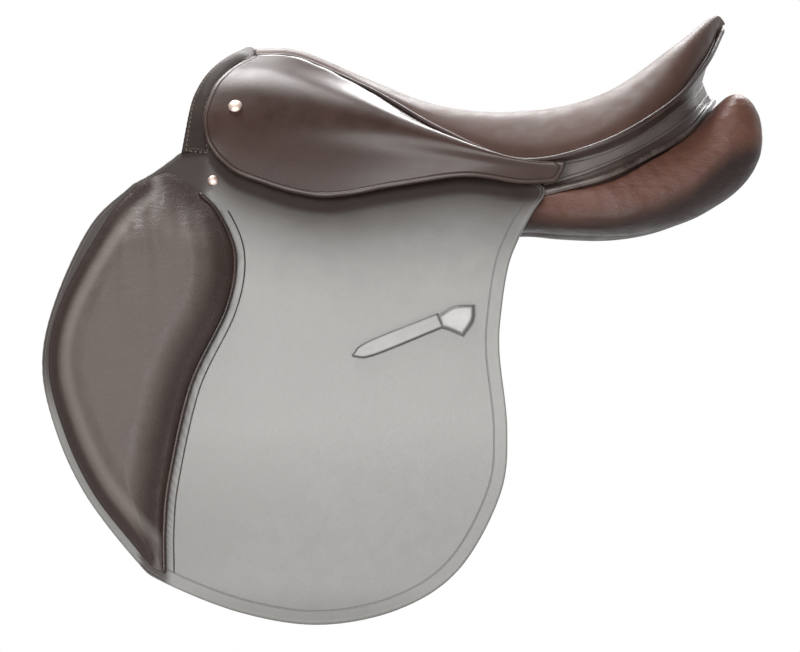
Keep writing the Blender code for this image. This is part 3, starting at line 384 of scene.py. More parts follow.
class Nodes:
    """Small helper that wires shader nodes."""

    def __init__(self, name, rough, coat=0.0, coat_rough=0.2, metallic=0.0,
                 specular=0.5, sheen=0.0):
        self.material = bpy.data.materials.new(name)
        self.material.use_nodes = True
        self.tree = self.material.node_tree
        self.shader = self.tree.nodes["Principled BSDF"]
        self.fill(self.shader, {"Roughness": rough, "Coat Weight": coat,
                                "Coat Roughness": coat_rough, "Metallic": metallic,
                                "Specular IOR Level": specular, "Sheen Weight": sheen})

    def add(self, kind, inputs=None, **settings):
        node = self.tree.nodes.new("ShaderNode" + kind)
        for key, value in settings.items():
            setattr(node, key, value)
        return self.fill(node, inputs or {})

    def link(self, source, target):
        self.tree.links.new(source, target)

    def attribute(self, name, vector=False):
        node = self.add("Attribute", attribute_name=name)
        return node.outputs["Vector" if vector else "Fac"]

    def position(self):
        return self.add("NewGeometry").outputs["Position"]

    def fill(self, node, inputs):
        """Gives inputs a number, a colour, a vector or a node's output each."""
        for key, value in inputs.items():
            socket = node.inputs[key]
            if isinstance(value, tuple):
                socket.default_value = (*value, 1.0)[:len(socket.default_value)]
            elif isinstance(value, (int, float)):
                socket.default_value = value
            else:
                self.link(value, socket)
        return node

    def math(self, operation, *values, clamp=False):
        inputs = dict(enumerate(values))
        return self.add("Math", inputs, operation=operation, use_clamp=clamp).outputs[0]

    def times(self, a, b, clamp=False):
        return self.math("MULTIPLY", a, b, clamp=clamp)

    def ramp(self, value, low, high, start=0.0, end=1.0):
        """Smooth step of a value from low..high onto start..end."""
        inputs = {"Value": value, "From Min": low, "From Max": high, "To Min": start, "To Max": end}
        return self.add("MapRange", inputs, interpolation_type="SMOOTHSTEP").outputs["Result"]

    def mix(self, factor, a, b):
        return self.add("Mix", {0: factor, 6: a, 7: b}, data_type="RGBA").outputs[2]

    def noise(self, place, scale, detail=3.0, roughness=0.55, stretch=None):
        if stretch:
            place = self.add("Mapping", {"Vector": place, "Scale": stretch}).outputs["Vector"]
        inputs = {"Vector": place, "Scale": scale, "Detail": detail, "Roughness": roughness}
        return self.add("TexNoise", inputs).outputs["Fac"]

    def voronoi(self, place, scale):
        return self.add("TexVoronoi", {"Vector": place, "Scale": scale}).outputs["Distance"]

    def bump(self, height, strength, distance, below=None):
        inputs = {"Strength": strength, "Distance": distance, "Height": height}
        if below is not None:
            inputs["Normal"] = below
        return self.add("Bump", inputs).outputs["Normal"]

    def finish(self, colour, normal=None, rough=None):
        inputs = {"Base Color": colour, "Normal": normal, "Coat Normal": normal,
                  "Roughness": rough}
        self.fill(self.shader, {key: v for key, v in inputs.items() if v is not None})
        return self.material


def mixed(a, b, share):
    return tuple(x + (y - x) * share for x, y in zip(a, b))


def pulse(nodes, value, centre, width):
    """1 at the centre of a line, falling to 0 at half its width."""
    away = nodes.math("ABSOLUTE", nodes.math("SUBTRACT", value, centre))
    return nodes.ramp(away, 0.0, width / 2, 1.0, 0.0)


def leather(name, light, dark, rough=0.42, coat=0.25, coat_rough=0.28,
            grain=0.25, grain_scale=900.0, shade_colour=None, crease=None,
            stitch=None, burnish=0.0014, wrinkle=0.0, specular=0.5,
            uneven=0.22, highlight_band=None, edge_black=0.45):
    """Vegetable-tanned leather with grain, mottling, creases and thread.

    burnish is the width of the dark cut edge; crease is (distance, width,
    depth); stitch is (distance, pitch); rub is a pale band of painted
    highlight, (distance, width, share). Distances run inwards from a sheet's chosen borders.
    """
    n = Nodes(name, rough, coat, coat_rough, specular=specular)
    place = n.attribute("rest", vector=True)
    broad = n.noise(place, 11.0, 3.0)
    middle = n.noise(place, 70.0, 4.0, 0.6)
    fine = n.noise(place, 520.0, 3.0, 0.6)
    mottle = n.math("MULTIPLY_ADD", middle, 0.30, n.times(fine, 0.15))
    mottle = n.math("MULTIPLY_ADD", broad, 0.55, mottle)
    colour = n.mix(n.ramp(mottle, 0.36, 0.64), dark, light)
    # painted shade: where the 'shade' attribute is set, shade_colour is mixed in, with a little
    # random unevenness
    if shade_colour is not None:
        stored = n.attribute("shade")
        cloud = n.times(n.math("SUBTRACT", broad, 0.5), uneven)
        weight = n.times(n.math("ADD", stored, cloud, clamp=True),
                         n.ramp(stored, 0.0, 0.08), clamp=True)
        colour = n.mix(weight, colour, shade_colour)
    edge = n.attribute("edge")
    if burnish:
        worn = n.times(n.ramp(edge, burnish * 0.35, burnish, 1, 0), 0.85)
        colour = n.mix(worn, colour, mixed(dark, BLACK, edge_black))
        lifted = n.times(pulse(n, edge, burnish * 1.9, burnish * 1.3), n.times(middle, EDGE_WEAR))
        colour = n.mix(lifted, colour, mixed(light, PALE_WEAR_AND_HIGHLIGHT, 0.35))
    cells = n.voronoi(place, grain_scale)
    pores = n.math("MULTIPLY_ADD", cells, 0.7, n.times(fine, 0.5))
    normal = n.bump(pores, grain, 0.0004)
    if wrinkle:
        folds = n.noise(place, 60.0, 5.0, 0.62, stretch=(1.0, 1.0, 2.2))
        normal = n.bump(folds, wrinkle, 0.004, normal)
    line = n.attribute("line")
    # painted highlight: a pale band along the line attribute
    if highlight_band is not None:
        distance, width, share = highlight_band
        pale = n.times(pulse(n, line, distance, width), share)
        colour = n.mix(pale, colour, mixed(light, PALE_WEAR_AND_HIGHLIGHT, 0.3))
    if crease is not None:
        distance, width, depth = crease
        groove = pulse(n, line, distance, width)
        colour = n.mix(n.times(groove, 0.55), colour, mixed(dark, BLACK, 0.35))
        normal = n.bump(n.math("SUBTRACT", 1.0, groove), 1.0, depth, normal)
    if stitch is not None:
        distance, pitch = stitch
        along = n.math("FRACT", n.math("DIVIDE", n.attribute("along"), pitch))
        dash = n.math("ABSOLUTE", n.math("SUBTRACT", along, 0.5))
        thread = n.times(n.ramp(dash, 0.26, 0.36, 1, 0), pulse(n, line, distance, 0.0016))
        trench = pulse(n, line, distance, 0.0032)
        colour = n.mix(n.times(trench, 0.5), colour, mixed(dark, BLACK, 0.4))
        colour = n.mix(thread, colour, THREAD)
        height = n.math("SUBTRACT", n.times(thread, 1.2), n.times(trench, 0.6))
        normal = n.bump(height, 1.0, 0.0006, normal)
    cloud = n.math("MULTIPLY_ADD", middle, 0.5, n.times(broad, 0.5))
    return n.finish(colour, normal, n.ramp(cloud, 0.35, 0.65, rough - ROUGH_SPREAD,
                                           rough + ROUGH_SPREAD))


def metal(name, colour, rough, tint, scratch=0.04):
    n = Nodes(name, rough, metallic=1.0)
    place = n.position()
    cloud = n.noise(place, 160.0, 4.0)
    fine = n.noise(place, 2200.0, 2.0, stretch=(1.0, 6.0, 1.0))
    body = n.mix(n.ramp(cloud, 0.35, 0.7), tint, colour)
    normal = n.bump(fine, scratch, 0.0002) if scratch else None
    return n.finish(body, normal, n.ramp(fine, 0.3, 0.7, rough - 0.06, rough + 0.1))


def wood(name):
    n = Nodes(name, 0.5, coat=0.2, coat_rough=0.35)
    place = n.position()
    grain = n.noise(place, 28.0, 5.0, 0.65, stretch=(0.5, 6.0, 6.0))
    pores = n.noise(place, 420.0, 3.0, stretch=(0.15, 3.0, 3.0))
    colour = n.mix(n.ramp(grain, 0.35, 0.65), (0.34, 0.19, 0.085), (0.50, 0.33, 0.17))
    colour = n.mix(n.ramp(pores, 0.55, 0.75, 0, 0.5), colour, (0.14, 0.07, 0.03))
    return n.finish(colour, n.bump(pores, 0.3, 0.0004), n.ramp(grain, 0.3, 0.7, 0.42, 0.58))


def webbing(name):
    n = Nodes(name, 0.88, sheen=0.3)
    place = n.position()
    weave = []
    for axis in "XY":
        inputs = {"Vector": place, "Scale": 130.0, "Distortion": 0.6}
        weave.append(n.add("TexWave", inputs, bands_direction=axis).outputs["Fac"])
    cloth = n.times(weave[0], weave[1])
    dirt = n.noise(place, 40.0, 4.0)
    colour = n.mix(n.ramp(dirt, 0.35, 0.7), (0.36, 0.30, 0.21), (0.52, 0.46, 0.35))
    colour = n.mix(n.times(cloth, 0.4), colour, (0.24, 0.19, 0.12))
    return n.finish(colour, n.bump(cloth, 0.5, 0.0006))


def foam(name):
    n = Nodes(name, 0.95, sheen=0.2)
    place = n.position()
    cells = n.voronoi(place, 700.0)
    cloud = n.noise(place, 30.0, 4.0)
    colour = n.mix(n.ramp(cloud, 0.3, 0.7), (0.50, 0.43, 0.24), (0.64, 0.58, 0.38))
    return n.finish(colour, n.bump(cells, 0.6, 0.0008))


# --------------------------------------------------------------- seat

def seat_points(rows, across):
    """Seat surface, pommel to cantle by rows, near to off by columns."""
    station = np.linspace(0, len(SEAT_CENTRE) - 1, rows)
    centre, edge = spline(SEAT_CENTRE, station), spline(SEAT_EDGE, station)
    dish = np.clip((centre[:, 0] - DISH_START) / (DISH_FULL - DISH_START), 0, 1)
    dish *= DISH_DEPTH * np.clip(edge[:, 1] / SEAT_EDGE[4][1], 0, 1)
    s = np.asarray(across)[None, :]
    drop = np.abs(s) ** SEAT_DROP_POWER
    x = centre[:, :1] + (edge[:, :1] - centre[:, :1]) * s * s
    y = s * edge[:, 1:2]
    z = (centre[:, 1:] + (edge[:, 2:] - centre[:, 1:]) * drop
         + dish[:, None] * 4 * s * s * (1 - s * s))
    return np.stack([x, y, z], axis=2)


SEAT_ROWS = 133
HALF_COLUMNS = np.concatenate([np.linspace(0, 0.9, 28), [0.93, 0.955, 0.975, 0.99, 1.0]])
SEAT = seat_points(SEAT_ROWS, np.concatenate([-HALF_COLUMNS[:0:-1], HALF_COLUMNS]))
SEAT_UP = -normals(SEAT)
EDGE = SEAT[:, -1]
EDGE_OUT = SEAT[:, -1] - SEAT[:, -2]
EDGE_OUT /= np.linalg.norm(EDGE_OUT, axis=1, keepdims=True)
STATION = np.linspace(0, len(SEAT_CENTRE) - 1, SEAT_ROWS)
WELT_GAP, WELT_BEDDED = 0.0018, 0.0012
SEAM_SINK, SEAM_SINK_REACH = 0.0022, 0.006
TIP_ROLL, TIP_DROP = 0.013, 0.0075


def make_seat(material, welt_material):
    edge, _ = distance_to(SEAT)
    side_edge, travel = distance_to(SEAT, ("rear", "front"))
    tip_edge, _ = distance_to(SEAT, ("bottom",))
    sink = SEAM_SINK * np.exp(-(side_edge / SEAM_SINK_REACH) ** 2)[..., None]
    short = np.clip(1 - tip_edge / TIP_ROLL, 0, 1)
    rolled = SEAT.copy()
    rolled[..., 2] -= TIP_DROP * (1 - np.sqrt(1 - short ** 2))
    across = np.abs(SEAT[..., 1]) / np.maximum(EDGE[:, 1][:, None], 1e-6)
    facts = {"edge": edge, "line": side_edge, "along": travel,
             "shade": smoothstep(across, 0.55, 1.0) * 0.55}
    cover = closed_sheet("seat_leather_cover", rolled - SEAT_UP * sink,
                         rolled - SEAT_UP * (SEAT_LEATHER + sink * 0.4), material, facts)
    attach(cover, "saddle")
    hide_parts("seat_cover")
    path = EDGE + EDGE_OUT * (WELT_RADIUS + WELT_GAP - WELT_BEDDED)
    front = 1 - smoothstep(STATION, 1.2, 2.6)
    path = path - SEAT_UP[:, -1] * SEAM_SINK * front[:, None]
    radius = WELT_RADIUS * (0.92 - 0.30 * front)
    for label, side in SIDES.items():
        welt = tube(label + "_seat_welting", path, radius, welt_material, side)
        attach(welt, "saddle")
        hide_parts(label + "_seat_welt")


def fold(piece, bend_line, reach):
    """Bakes the sheet's transform into its mesh; the direction across the bend line is worked out
    but not used.
    """
    front, rear = np.array(bend_line)
    across = np.array([front[2] - rear[2], 0.0, rear[0] - front[0]])
    across *= reach / np.linalg.norm(across)
    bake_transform(piece)


# -------------------------------------------------------------- skirts

def skirt_grid():
    """Whole skirt in one sheet: seam, bend line and free lower edge."""
    us = close_ends(76)
    room = 2 * WELT_RADIUS + 2 * WELT_GAP - SKIRT_UNDER_WELT
    seam = (EDGE + EDGE_OUT * room)[STATION <= SKIRT_LAST_STATION]
    hem = [SKIRT_LOWER_FRONT[-1], *SKIRT_LOWER_EDGE]
    down = np.linspace(0, 1, SKIRT_UPPER_ROWS)
    upper = patch(seam, SKIRT_BEND, [seam[0], *SKIRT_FRONT, SKIRT_BEND[0]],
                  [seam[-1], SKIRT_REAR_UPPER, SKIRT_BEND[-1]], us, down)
    bulge = SKIRT_BULGE * np.sin(math.pi * down)[:, None] * np.sin(math.pi * us)[None, :]
    upper[:, :, 1] += bulge
    upper[:, :, 2] += bulge * 0.5
    lower = patch(SKIRT_BEND, hem, [SKIRT_BEND[0], *SKIRT_LOWER_FRONT],
                  [SKIRT_BEND[-1], SKIRT_LOWER_EDGE[-1]], us,
                  np.linspace(0, 1, SKIRT_LOWER_ROWS)[1:] ** 0.85)
    grid = np.vstack([upper, lower])
    grid[0], grid[-1] = along_curve(seam, us), along_curve(hem, us)
    grid[SKIRT_UPPER_ROWS - 1] = along_curve(SKIRT_BEND, us)
    a, b = SKIRT_UPPER_ROWS - 10, SKIRT_UPPER_ROWS + 10
    for _ in range(6):
        grid[a:b] = (grid[a - 1:b - 1] + 2 * grid[a:b] + grid[a + 1:b + 1]) / 4
    return grid


def make_skirts(material):
    grid = skirt_grid()
    up = normals(grid)
    for column, point in enumerate(grid[0]):
        nearest = np.argmin(np.linalg.norm(EDGE - point, axis=1))
        up[0, column] = SEAT_UP[nearest, -1]
    for row in range(1, 6):  # turns from the seat's slope to the skirt's own
        up[row] = up[row] * row / 6 + up[0] * (1 - row / 6)
        up[row] /= np.linalg.norm(up[row], axis=1, keepdims=True)
    for label, side in SIDES.items():
        skirt = leather_sheet(label + "_skirt_leather", grid, SKIRT_LEATHER, material, side, n=up,
                              line_borders=("rear", "bottom", "front"))
        fold(skirt, SKIRT_BEND, SKIRT_FOLD)
        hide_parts(label + "_skirt_top", label + "_skirt")


# --------------------------------------------------------------- flaps

def flap_w(x, z, depth=0.0):
    """Half width of the flap's outer face at (x, z), `depth` further in."""
    (xf, wf, zf), (xr, wr, zr) = FLAP_BEND
    share = (x - xf) / (xr - xf)
    w0, h = wf + (wr - wf) * share, zf + (zr - zf) * share - z
    low = np.maximum(h, 0)
    below = (FLAP_SPREAD * low + FLAP_THROW * (1 - np.exp(-low / FLAP_THROW_HEIGHT))
             - FLAP_WRAP * (x - FLAP_WRAP_X) ** 2 * (1 - np.exp(-low / FLAP_WRAP_HEIGHT)))
    return w0 + FLAP_UPPER_SPREAD * np.minimum(h, 0) + below - depth


def on_flap(plan, depth=0.0):
    plan = np.array(plan)
    x, z = plan[..., 0], plan[..., 1]
    return np.stack([x, flap_w(x, z, depth), z], axis=-1)


def skirt_hem(x):
    """Height of the skirt's lower edge above each x of the flap."""
    hem = [SKIRT_LOWER_FRONT[-1], *SKIRT_LOWER_EDGE]
    hem = spline(hem, np.linspace(0, len(hem) - 1, 80))
    return np.interp(x, hem[:, 0], hem[:, 2])


def split_outline(sides):
    """One smooth curve through several borders in turn, cut back into them."""
    joined = [sides[0][0]]
    stops = [0]
    for side in sides:
        joined += list(side[1:])
        stops.append(len(joined) - 1)
    return [spline(joined, np.linspace(a, b, 12 * (b - a) + 1)) for a, b in zip(stops, stops[1:])]


def flap_grid():
    us = close_ends(96)
    upper = np.linspace(0, 1, 20)
    lower = 1 - close_ends(110)[::-1]
    lower = lower[lower > 0.004]
    bend = np.array([BEND_FRONT, BEND_REAR])
    root = patch(ROOT_TOP, bend, [ROOT_TOP[0], *ROOT_FRONT, BEND_FRONT],
                 [ROOT_TOP[-1], *ROOT_REAR, BEND_REAR], us, upper)
    front, foot, rear = split_outline([
        [BEND_FRONT, *FLAP_FRONT, FLAP_CORNER_FRONT],
        [FLAP_CORNER_FRONT, *FLAP_BOTTOM, FLAP_CORNER_REAR],
        [FLAP_CORNER_REAR, *FLAP_REAR[::-1], BEND_REAR]])
    flap = patch(bend, foot, front, rear[::-1], us, lower)
    return np.vstack([root, flap])


# painted shadow of the skirt on the flap: how far it fades, and its darkest band just below the hem
UNDER_SKIRT_FADE, UNDER_SKIRT = 0.040, (0.010, 0.028)
FOOT_DARK, HEM_DARK, PAD_DARK = 0.24, 0.2, 0.95
FLAP_LINE = 0.0108


def flap_shade(x, z):
    """Painted shadow under the skirt, darker at the foot, painted shade beside the pad."""
    below = np.clip(skirt_hem(x) - z, 0, None)
    under = np.maximum(np.exp(-(below / UNDER_SKIRT_FADE) ** 1.5),
                       1 - smoothstep(below, *UNDER_SKIRT))
    foot = FOOT_DARK * smoothstep(-z, 0.13, 0.25) + HEM_DARK * smoothstep(-z, 0.28, 0.31)
    # painted shade along the knee pad's rear edge; in front of the pad the flap's margin is kept
    # dark, paler lower down
    pad_rear = np.array([PAD_TOP[-1], *PAD_REAR, PAD_BOTTOM[0]])[::-1]
    behind_pad = x - np.interp(z, pad_rear[:, 1], pad_rear[:, 0])
    margin = 1 - 0.55 * smoothstep(-z, 0.10, 0.16) * (behind_pad < -0.02)
    beyond = 0.007 + 0.030 * smoothstep(z, 0.030, 0.048)
    beside = PAD_DARK * margin * (1 - smoothstep(behind_pad / beyond, 0.0, 1.0))
    return np.maximum(np.maximum(under, foot), beside)


def make_flaps(material):
    plan = flap_grid()
    grid = on_flap(plan)
    x, z = plan[..., 0], plan[..., 1]
    grid[..., 1] += ROOT_FLARE * smoothstep(x, 0.085, 0.115) * smoothstep(z, 0.0, 0.030)
    for label, side in SIDES.items():
        flap = leather_sheet(label + "_flap_leather", grid, FLAP_LEATHER,
                             material, side, shade=flap_shade(x, z),
                             line_fade=0.05 * smoothstep(z, 0.026, 0.030))
        fold(flap, FLAP_BEND, FLAP_FOLD)
        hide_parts(label + "_flap_root", label + "_flap")


# ------------------------------------------------------------ knee pads

SEAM_GAP, SEAM_THREAD, SEAM_START = 0.0080, 0.0006, 12
PAD_WELT_RADIUS, PAD_WELT_LIFT = 0.0018, 0.0022
PAD_LIFT, SEAM_LIFT = 0.0003, 0.0001
PAD_SLOPE, PAD_TOP_SLOPE, PAD_FOLD_DEPTH = 0.034, 0.060, 0.0005
PAD_GROOVE, PAD_GROOVE_IN, PAD_GROOVE_WIDTH = 0.0009, 0.0105, 0.0025
PAD_SHADE_FRONT, PAD_SHADE_REAR, PAD_SHADE_TOP = (0.0075, 0.013), (0.008, 0.030), (0.004, 0.046)


def pad_folds(x, z):
    """Soft folds that fan out below the top of the pad."""
    fan = x + 0.12 * z + 0.0015 * np.sin(z * 75)
    return (np.sin(fan * 430) * np.exp(-((z + 0.002) / 0.035) ** 2)
            + 0.7 * np.sin(fan * 250 + 1.0) * np.exp(-((z + 0.015) / 0.05) ** 2))


def make_knee_pads(material, welt_material):
    us, vs = close_ends(48, 0.004), close_ends(120, 0.002)
    rear_outline = [PAD_TOP[-1], *PAD_REAR, PAD_BOTTOM[0]]
    plan = patch(PAD_TOP, PAD_BOTTOM[::-1],
                 [PAD_TOP[0], *PAD_FRONT, PAD_BOTTOM[-1]], rear_outline, us, vs)
    face = on_flap(plan, -PAD_LIFT)
    edge, _ = distance_to(face)
    rear, _ = distance_to(face, ("rear",))
    front, travel = distance_to(face, ("front",))
    top, _ = distance_to(face, ("top",))
    border = smoothstep(edge, 0.0, 0.004)
    border *= 0.25 + 0.75 * smoothstep(top, 0.0, 0.025)
    swell = (PAD_EDGE_THICK * (0.30 + 0.70 * border) + (PAD_THICK - PAD_EDGE_THICK)
             * smoothstep(edge, 0.0, PAD_SLOPE) * smoothstep(top, 0.0, PAD_TOP_SLOPE))
    swell += PAD_FOLD_DEPTH * pad_folds(plan[..., 0], plan[..., 1]) * smoothstep(edge, 0.006, 0.03)
    swell -= PAD_GROOVE * np.exp(-((front - PAD_GROOVE_IN) / PAD_GROOVE_WIDTH) ** 2)
    # painted shade darkens the rolled front, rear and top borders of the pad
    shade = np.maximum(1 - smoothstep(front, *PAD_SHADE_FRONT),
                       1 - smoothstep(rear, *PAD_SHADE_REAR))
    shade = np.maximum(shade, 1 - smoothstep(top, *PAD_SHADE_TOP))
    facts = {"edge": edge, "line": front, "along": travel, "shade": shade}
    crown = face + normals(on_flap(plan)) * swell[..., None]
    rear_line = along_curve(rear_outline, np.linspace(0, 1, 160))
    ahead = np.gradient(rear_line, axis=0)
    ahead /= np.linalg.norm(ahead, axis=1, keepdims=True)
    aside = np.stack([-ahead[:, 1], ahead[:, 0]], axis=1)
    seam_line = (rear_line + aside * SEAM_GAP)[SEAM_START:]
    for label, side in SIDES.items():
        pad = closed_sheet(label + "_knee_pad_cover", crown, face, material, facts, side)
        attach(pad, label + "_flap")
        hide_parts(label + "_knee_pad")
        welt = tube(label + "_knee_pad_welt", on_flap(rear_line, -PAD_WELT_LIFT),
                    PAD_WELT_RADIUS, welt_material, side)
        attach(welt, label + "_flap")
        seam = tube(label + "_knee_pad_seam", on_flap(seam_line, -SEAM_LIFT),
                    SEAM_THREAD, welt_material, side, sides=8)
        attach(seam, label + "_flap")


# -------------------------------------------------------------- keeper

def make_keepers(strap_material, tab_material):
    """Tapered strap with its shaped tab sewn over its rear end."""
    ends = np.array(KEEPER_ENDS)
    along = (ends[1] - ends[0]) / np.linalg.norm(ends[1] - ends[0])
    off = np.array([-along[1], along[0]]) * KEEPER_WIDTH / 2
    tip, shoulder = ends[0], ends[0] + along * KEEPER_TAPER
    top = [tip + off * 0.12, shoulder + off, ends[1] + off]
    foot = [tip - off * 0.12, shoulder - off, ends[1] - off]
    us, vs = close_ends(70, 0.006), close_ends(24, 0.02)
    strap = patch(top, foot, [top[0], foot[0]], [top[-1], foot[-1]], us, vs)
    tab = patch(TAB_TOP, TAB_FOOT, [TAB_TOP[0], TAB_FOOT[0]],
                [TAB_TOP[-1], *TAB_REAR, TAB_FOOT[-1]], us, close_ends(40, 0.008))
    strap_face = on_flap(strap, -KEEPER_LIFT - KEEPER_LEATHER)
    tab_face = on_flap(tab, -KEEPER_LIFT - KEEPER_LEATHER - TAB_PROUD)
    for label, side in SIDES.items():
        piece = leather_sheet(label + "_keeper_leather", strap_face,
                              KEEPER_LEATHER, strap_material, side, line_borders=BORDERS)
        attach(piece, label + "_flap")
        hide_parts(label + "_keeper_strap")
        piece = leather_sheet(label + "_keeper_tab", tab_face,
                              KEEPER_LEATHER + TAB_PROUD, tab_material, side,
                              round_edge=0.0030, line_borders=BORDERS)
        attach(piece, label + "_flap")
        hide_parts(label + "_keeper_patch")


# ---------------------------------------------------------------- trim

LONG_EDGES = ("top", "bottom")
POMMEL_CROWN = 0.0035
LINING_TOP_START = 4.4
LINING_GAP, RIM_INSET, LINING_TUCK = 0.0006, 0.0004, 0.0020
GUSSET_LEATHER = 0.0018
TUCKED = np.array([1, 0.985, 1])  # lies just inside the facing


def make_pommel_facing(material):
    us, vs = close_ends(150, 0.0005), close_ends(20, 0.02)
    grid = between(both_sides(POMMEL_FRONT, us[::2], us), both_sides(POMMEL_BACK, us[::2], us), vs)
    grid[..., 2] += POMMEL_CROWN * np.sin(math.pi * vs)[:, None]
    facing = leather_sheet("pommel_facing_leather", grid, FACING_LEATHER,
                           material, line_borders=LONG_EDGES)
    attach(facing, "saddle")
    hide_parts("pommel_facing")


def make_cantle_trim(lining_material, facing_material, piping_material):
    us, vs = close_ends(110, 0.0008), close_ends(26, 0.012)
    halves = np.linspace(0, 1, 60)
    rim = (EDGE - SEAT_UP[:, -1] * (SEAT_LEATHER + LINING_GAP)
           - EDGE_OUT * RIM_INSET)[STATION >= LINING_TOP_START]
    tip = rim[-1] * np.array([1.0, 0.0, 1.0])
    top = both_sides(FACING_TOP, halves, us)
    foot = both_sides(FACING_FOOT, halves, us)
    tuck = top * TUCKED - np.array([0, 0, LINING_TUCK])
    lining = leather_sheet("cantle_lining_leather",
                           between(both_sides([*rim, tip], halves, us), tuck, vs),
                           FACING_LEATHER, lining_material, line_borders=LONG_EDGES)
    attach(lining, "saddle")
    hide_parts("cantle_lining")

    facing = leather_sheet("rear_facing_leather", between(top, foot, vs),
                           FACING_LEATHER, facing_material, line_borders=LONG_EDGES)
    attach(facing, "saddle")
    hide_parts("rear_facing")

    cord = both_sides(PIPING_PATH, halves, us)
    under = cord.copy()
    under[:, 1] -= np.sign(cord[:, 1]) * np.minimum(0.012, np.abs(cord[:, 1]))
    under[:, 2] -= 0.011
    rows = np.stack([foot + np.array([-0.001, 0, 0.004]), (foot + cord) * 0.5,
                     cord, cord * 0.4 + under * 0.6, under]) * TUCKED
    grid = np.stack([spline(column, np.linspace(0, 4, 17))
                     for column in rows.transpose(1, 0, 2)], axis=1)
    gusset = leather_sheet("rear_gusset_leather", grid, GUSSET_LEATHER,
                           lining_material, line_borders=LONG_EDGES)
    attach(gusset, "saddle")

    path = both_sides(PIPING_PATH, halves, np.linspace(0, 1, 220))
    piping = tube("panel_piping_cord", path, PIPING_RADIUS, piping_material)
    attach(piping, "saddle")
    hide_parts("panel_piping")


# -------------------------------------------------------------- panels

STUFFING_CELL, STUFFING_PRESSURE, STUFFING_SLACK = 0.0048, 4.0, 0.05
STUFFING_LIMIT, STUFFING_FRAMES = 0.0035, 20
PLEAT_PITCH, PLEAT_DEPTH, PLEAT_REACH = 0.0125, 0.0010, 0.020
PLEAT_SHIFT, PLEAT_WANDER = 1.3, 70
SEAM_GROOVE, SEAM_GROOVE_REACH = 0.0016, 0.004
SEAM_PULL, SEAM_REACH = 0.95, 0.024
REAR_END_START = 0.24
# painted shade: the panels' underside is darkened, and their front part too
FRONT_DARK, FRONT_DARK_END = 0.45, (0.09, 0.15)
UNDERSIDE_SHADE = (-0.006, 0.020)


def panel_skin(stations, sides):
    """Cushion surface drawn through its stations, with rounded ends."""
    at = np.linspace(0, len(PANEL_STATIONS) - 1, stations)
    facts = spline(PANEL_STATIONS, at)
    turns = (np.arange(sides) + 0.5) * 2 * math.pi / sides
    c, s = np.cos(turns), np.sin(turns)
    a = np.sign(c) * np.abs(c) ** (2 / PANEL_SQUARENESS)
    b = np.sign(s) * np.abs(s) ** (2 / PANEL_SQUARENESS)
    points = []
    for x, w, z, wide, high, roll in facts:
        turn = math.radians(-roll)
        wide, high = max(wide, PANEL_LEAST), max(high, PANEL_LEAST)
        points.append(np.stack([
            np.full(sides, x), w + wide * a * math.cos(turn) - high * b * math.sin(turn),
            z + wide * a * math.sin(turn) + high * b * math.cos(turn)], 1))
    rings = len(points)
    last = (rings - 1) * sides
    points = np.vstack(points + [facts[0][None, :3], facts[-1][None, :3]])
    faces = ring_faces(rings, sides)
    for k in range(sides):
        m = (k + 1) % sides
        faces.append((m, k, rings * sides))
        faces.append((last + k, last + m, rings * sides + 1))
    return points, faces


def plain_object(points, faces):
    """Bare mesh object to work on, and to be removed again."""
    mesh = bpy.data.meshes.new("form")
    mesh.from_pydata(points.tolist(), [], faces)
    form = bpy.data.objects.new("form", mesh)
    bpy.context.scene.collection.objects.link(form)
    return form


def evaluated_points(obj):
    shown = obj.evaluated_get(bpy.context.evaluated_depsgraph_get())
    mesh = shown.to_mesh()
    points = np.zeros(len(mesh.vertices) * 3)
    mesh.vertices.foreach_get("co", points)
    faces = [tuple(p.vertices) for p in mesh.polygons]
    shown.to_mesh_clear()
    return points.reshape(-1, 3), faces


def stuffed(points, faces):
    """The closed skin as loose leather stuffed from inside."""
    form = plain_object(points, faces)
    remesh = form.modifiers.new("cells", "REMESH")
    remesh.mode, remesh.voxel_size = "VOXEL", STUFFING_CELL
    start, skin = evaluated_points(form)
    bpy.data.objects.remove(form)
    form = plain_object(start, skin)
    moved = start
    cloth = form.modifiers.new("leather", "CLOTH")
    s = cloth.settings
    s.quality, s.mass, s.air_damping = 6, 0.35, 4.0
    s.tension_stiffness = s.compression_stiffness = 25.0
    s.shear_stiffness, s.bending_stiffness = 18.0, 0.4
    s.use_pressure, s.uniform_pressure_force = True, STUFFING_PRESSURE
    s.shrink_min = -STUFFING_SLACK
    s.effector_weights.gravity = 0.0
    cloth.point_cache.frame_start = 1
    cloth.point_cache.frame_end = STUFFING_FRAMES
    for number in range(1, STUFFING_FRAMES + 1):
        bpy.context.scene.frame_set(number)
    moved, _ = evaluated_points(form)
    bpy.context.scene.frame_set(1)
    shift = moved - start
    far = np.linalg.norm(shift, axis=1, keepdims=True)
    shift *= np.minimum(1, STUFFING_LIMIT / np.maximum(far, 1e-9))
    bpy.data.objects.remove(form)
    return start + shift, skin


def rounded(points, faces):
    """The same skin with one round of subdivision."""
    form = plain_object(points, faces)
    form.modifiers.new("round", "SUBSURF").levels = 1
    skin = evaluated_points(form)
    bpy.data.objects.remove(form)
    return skin


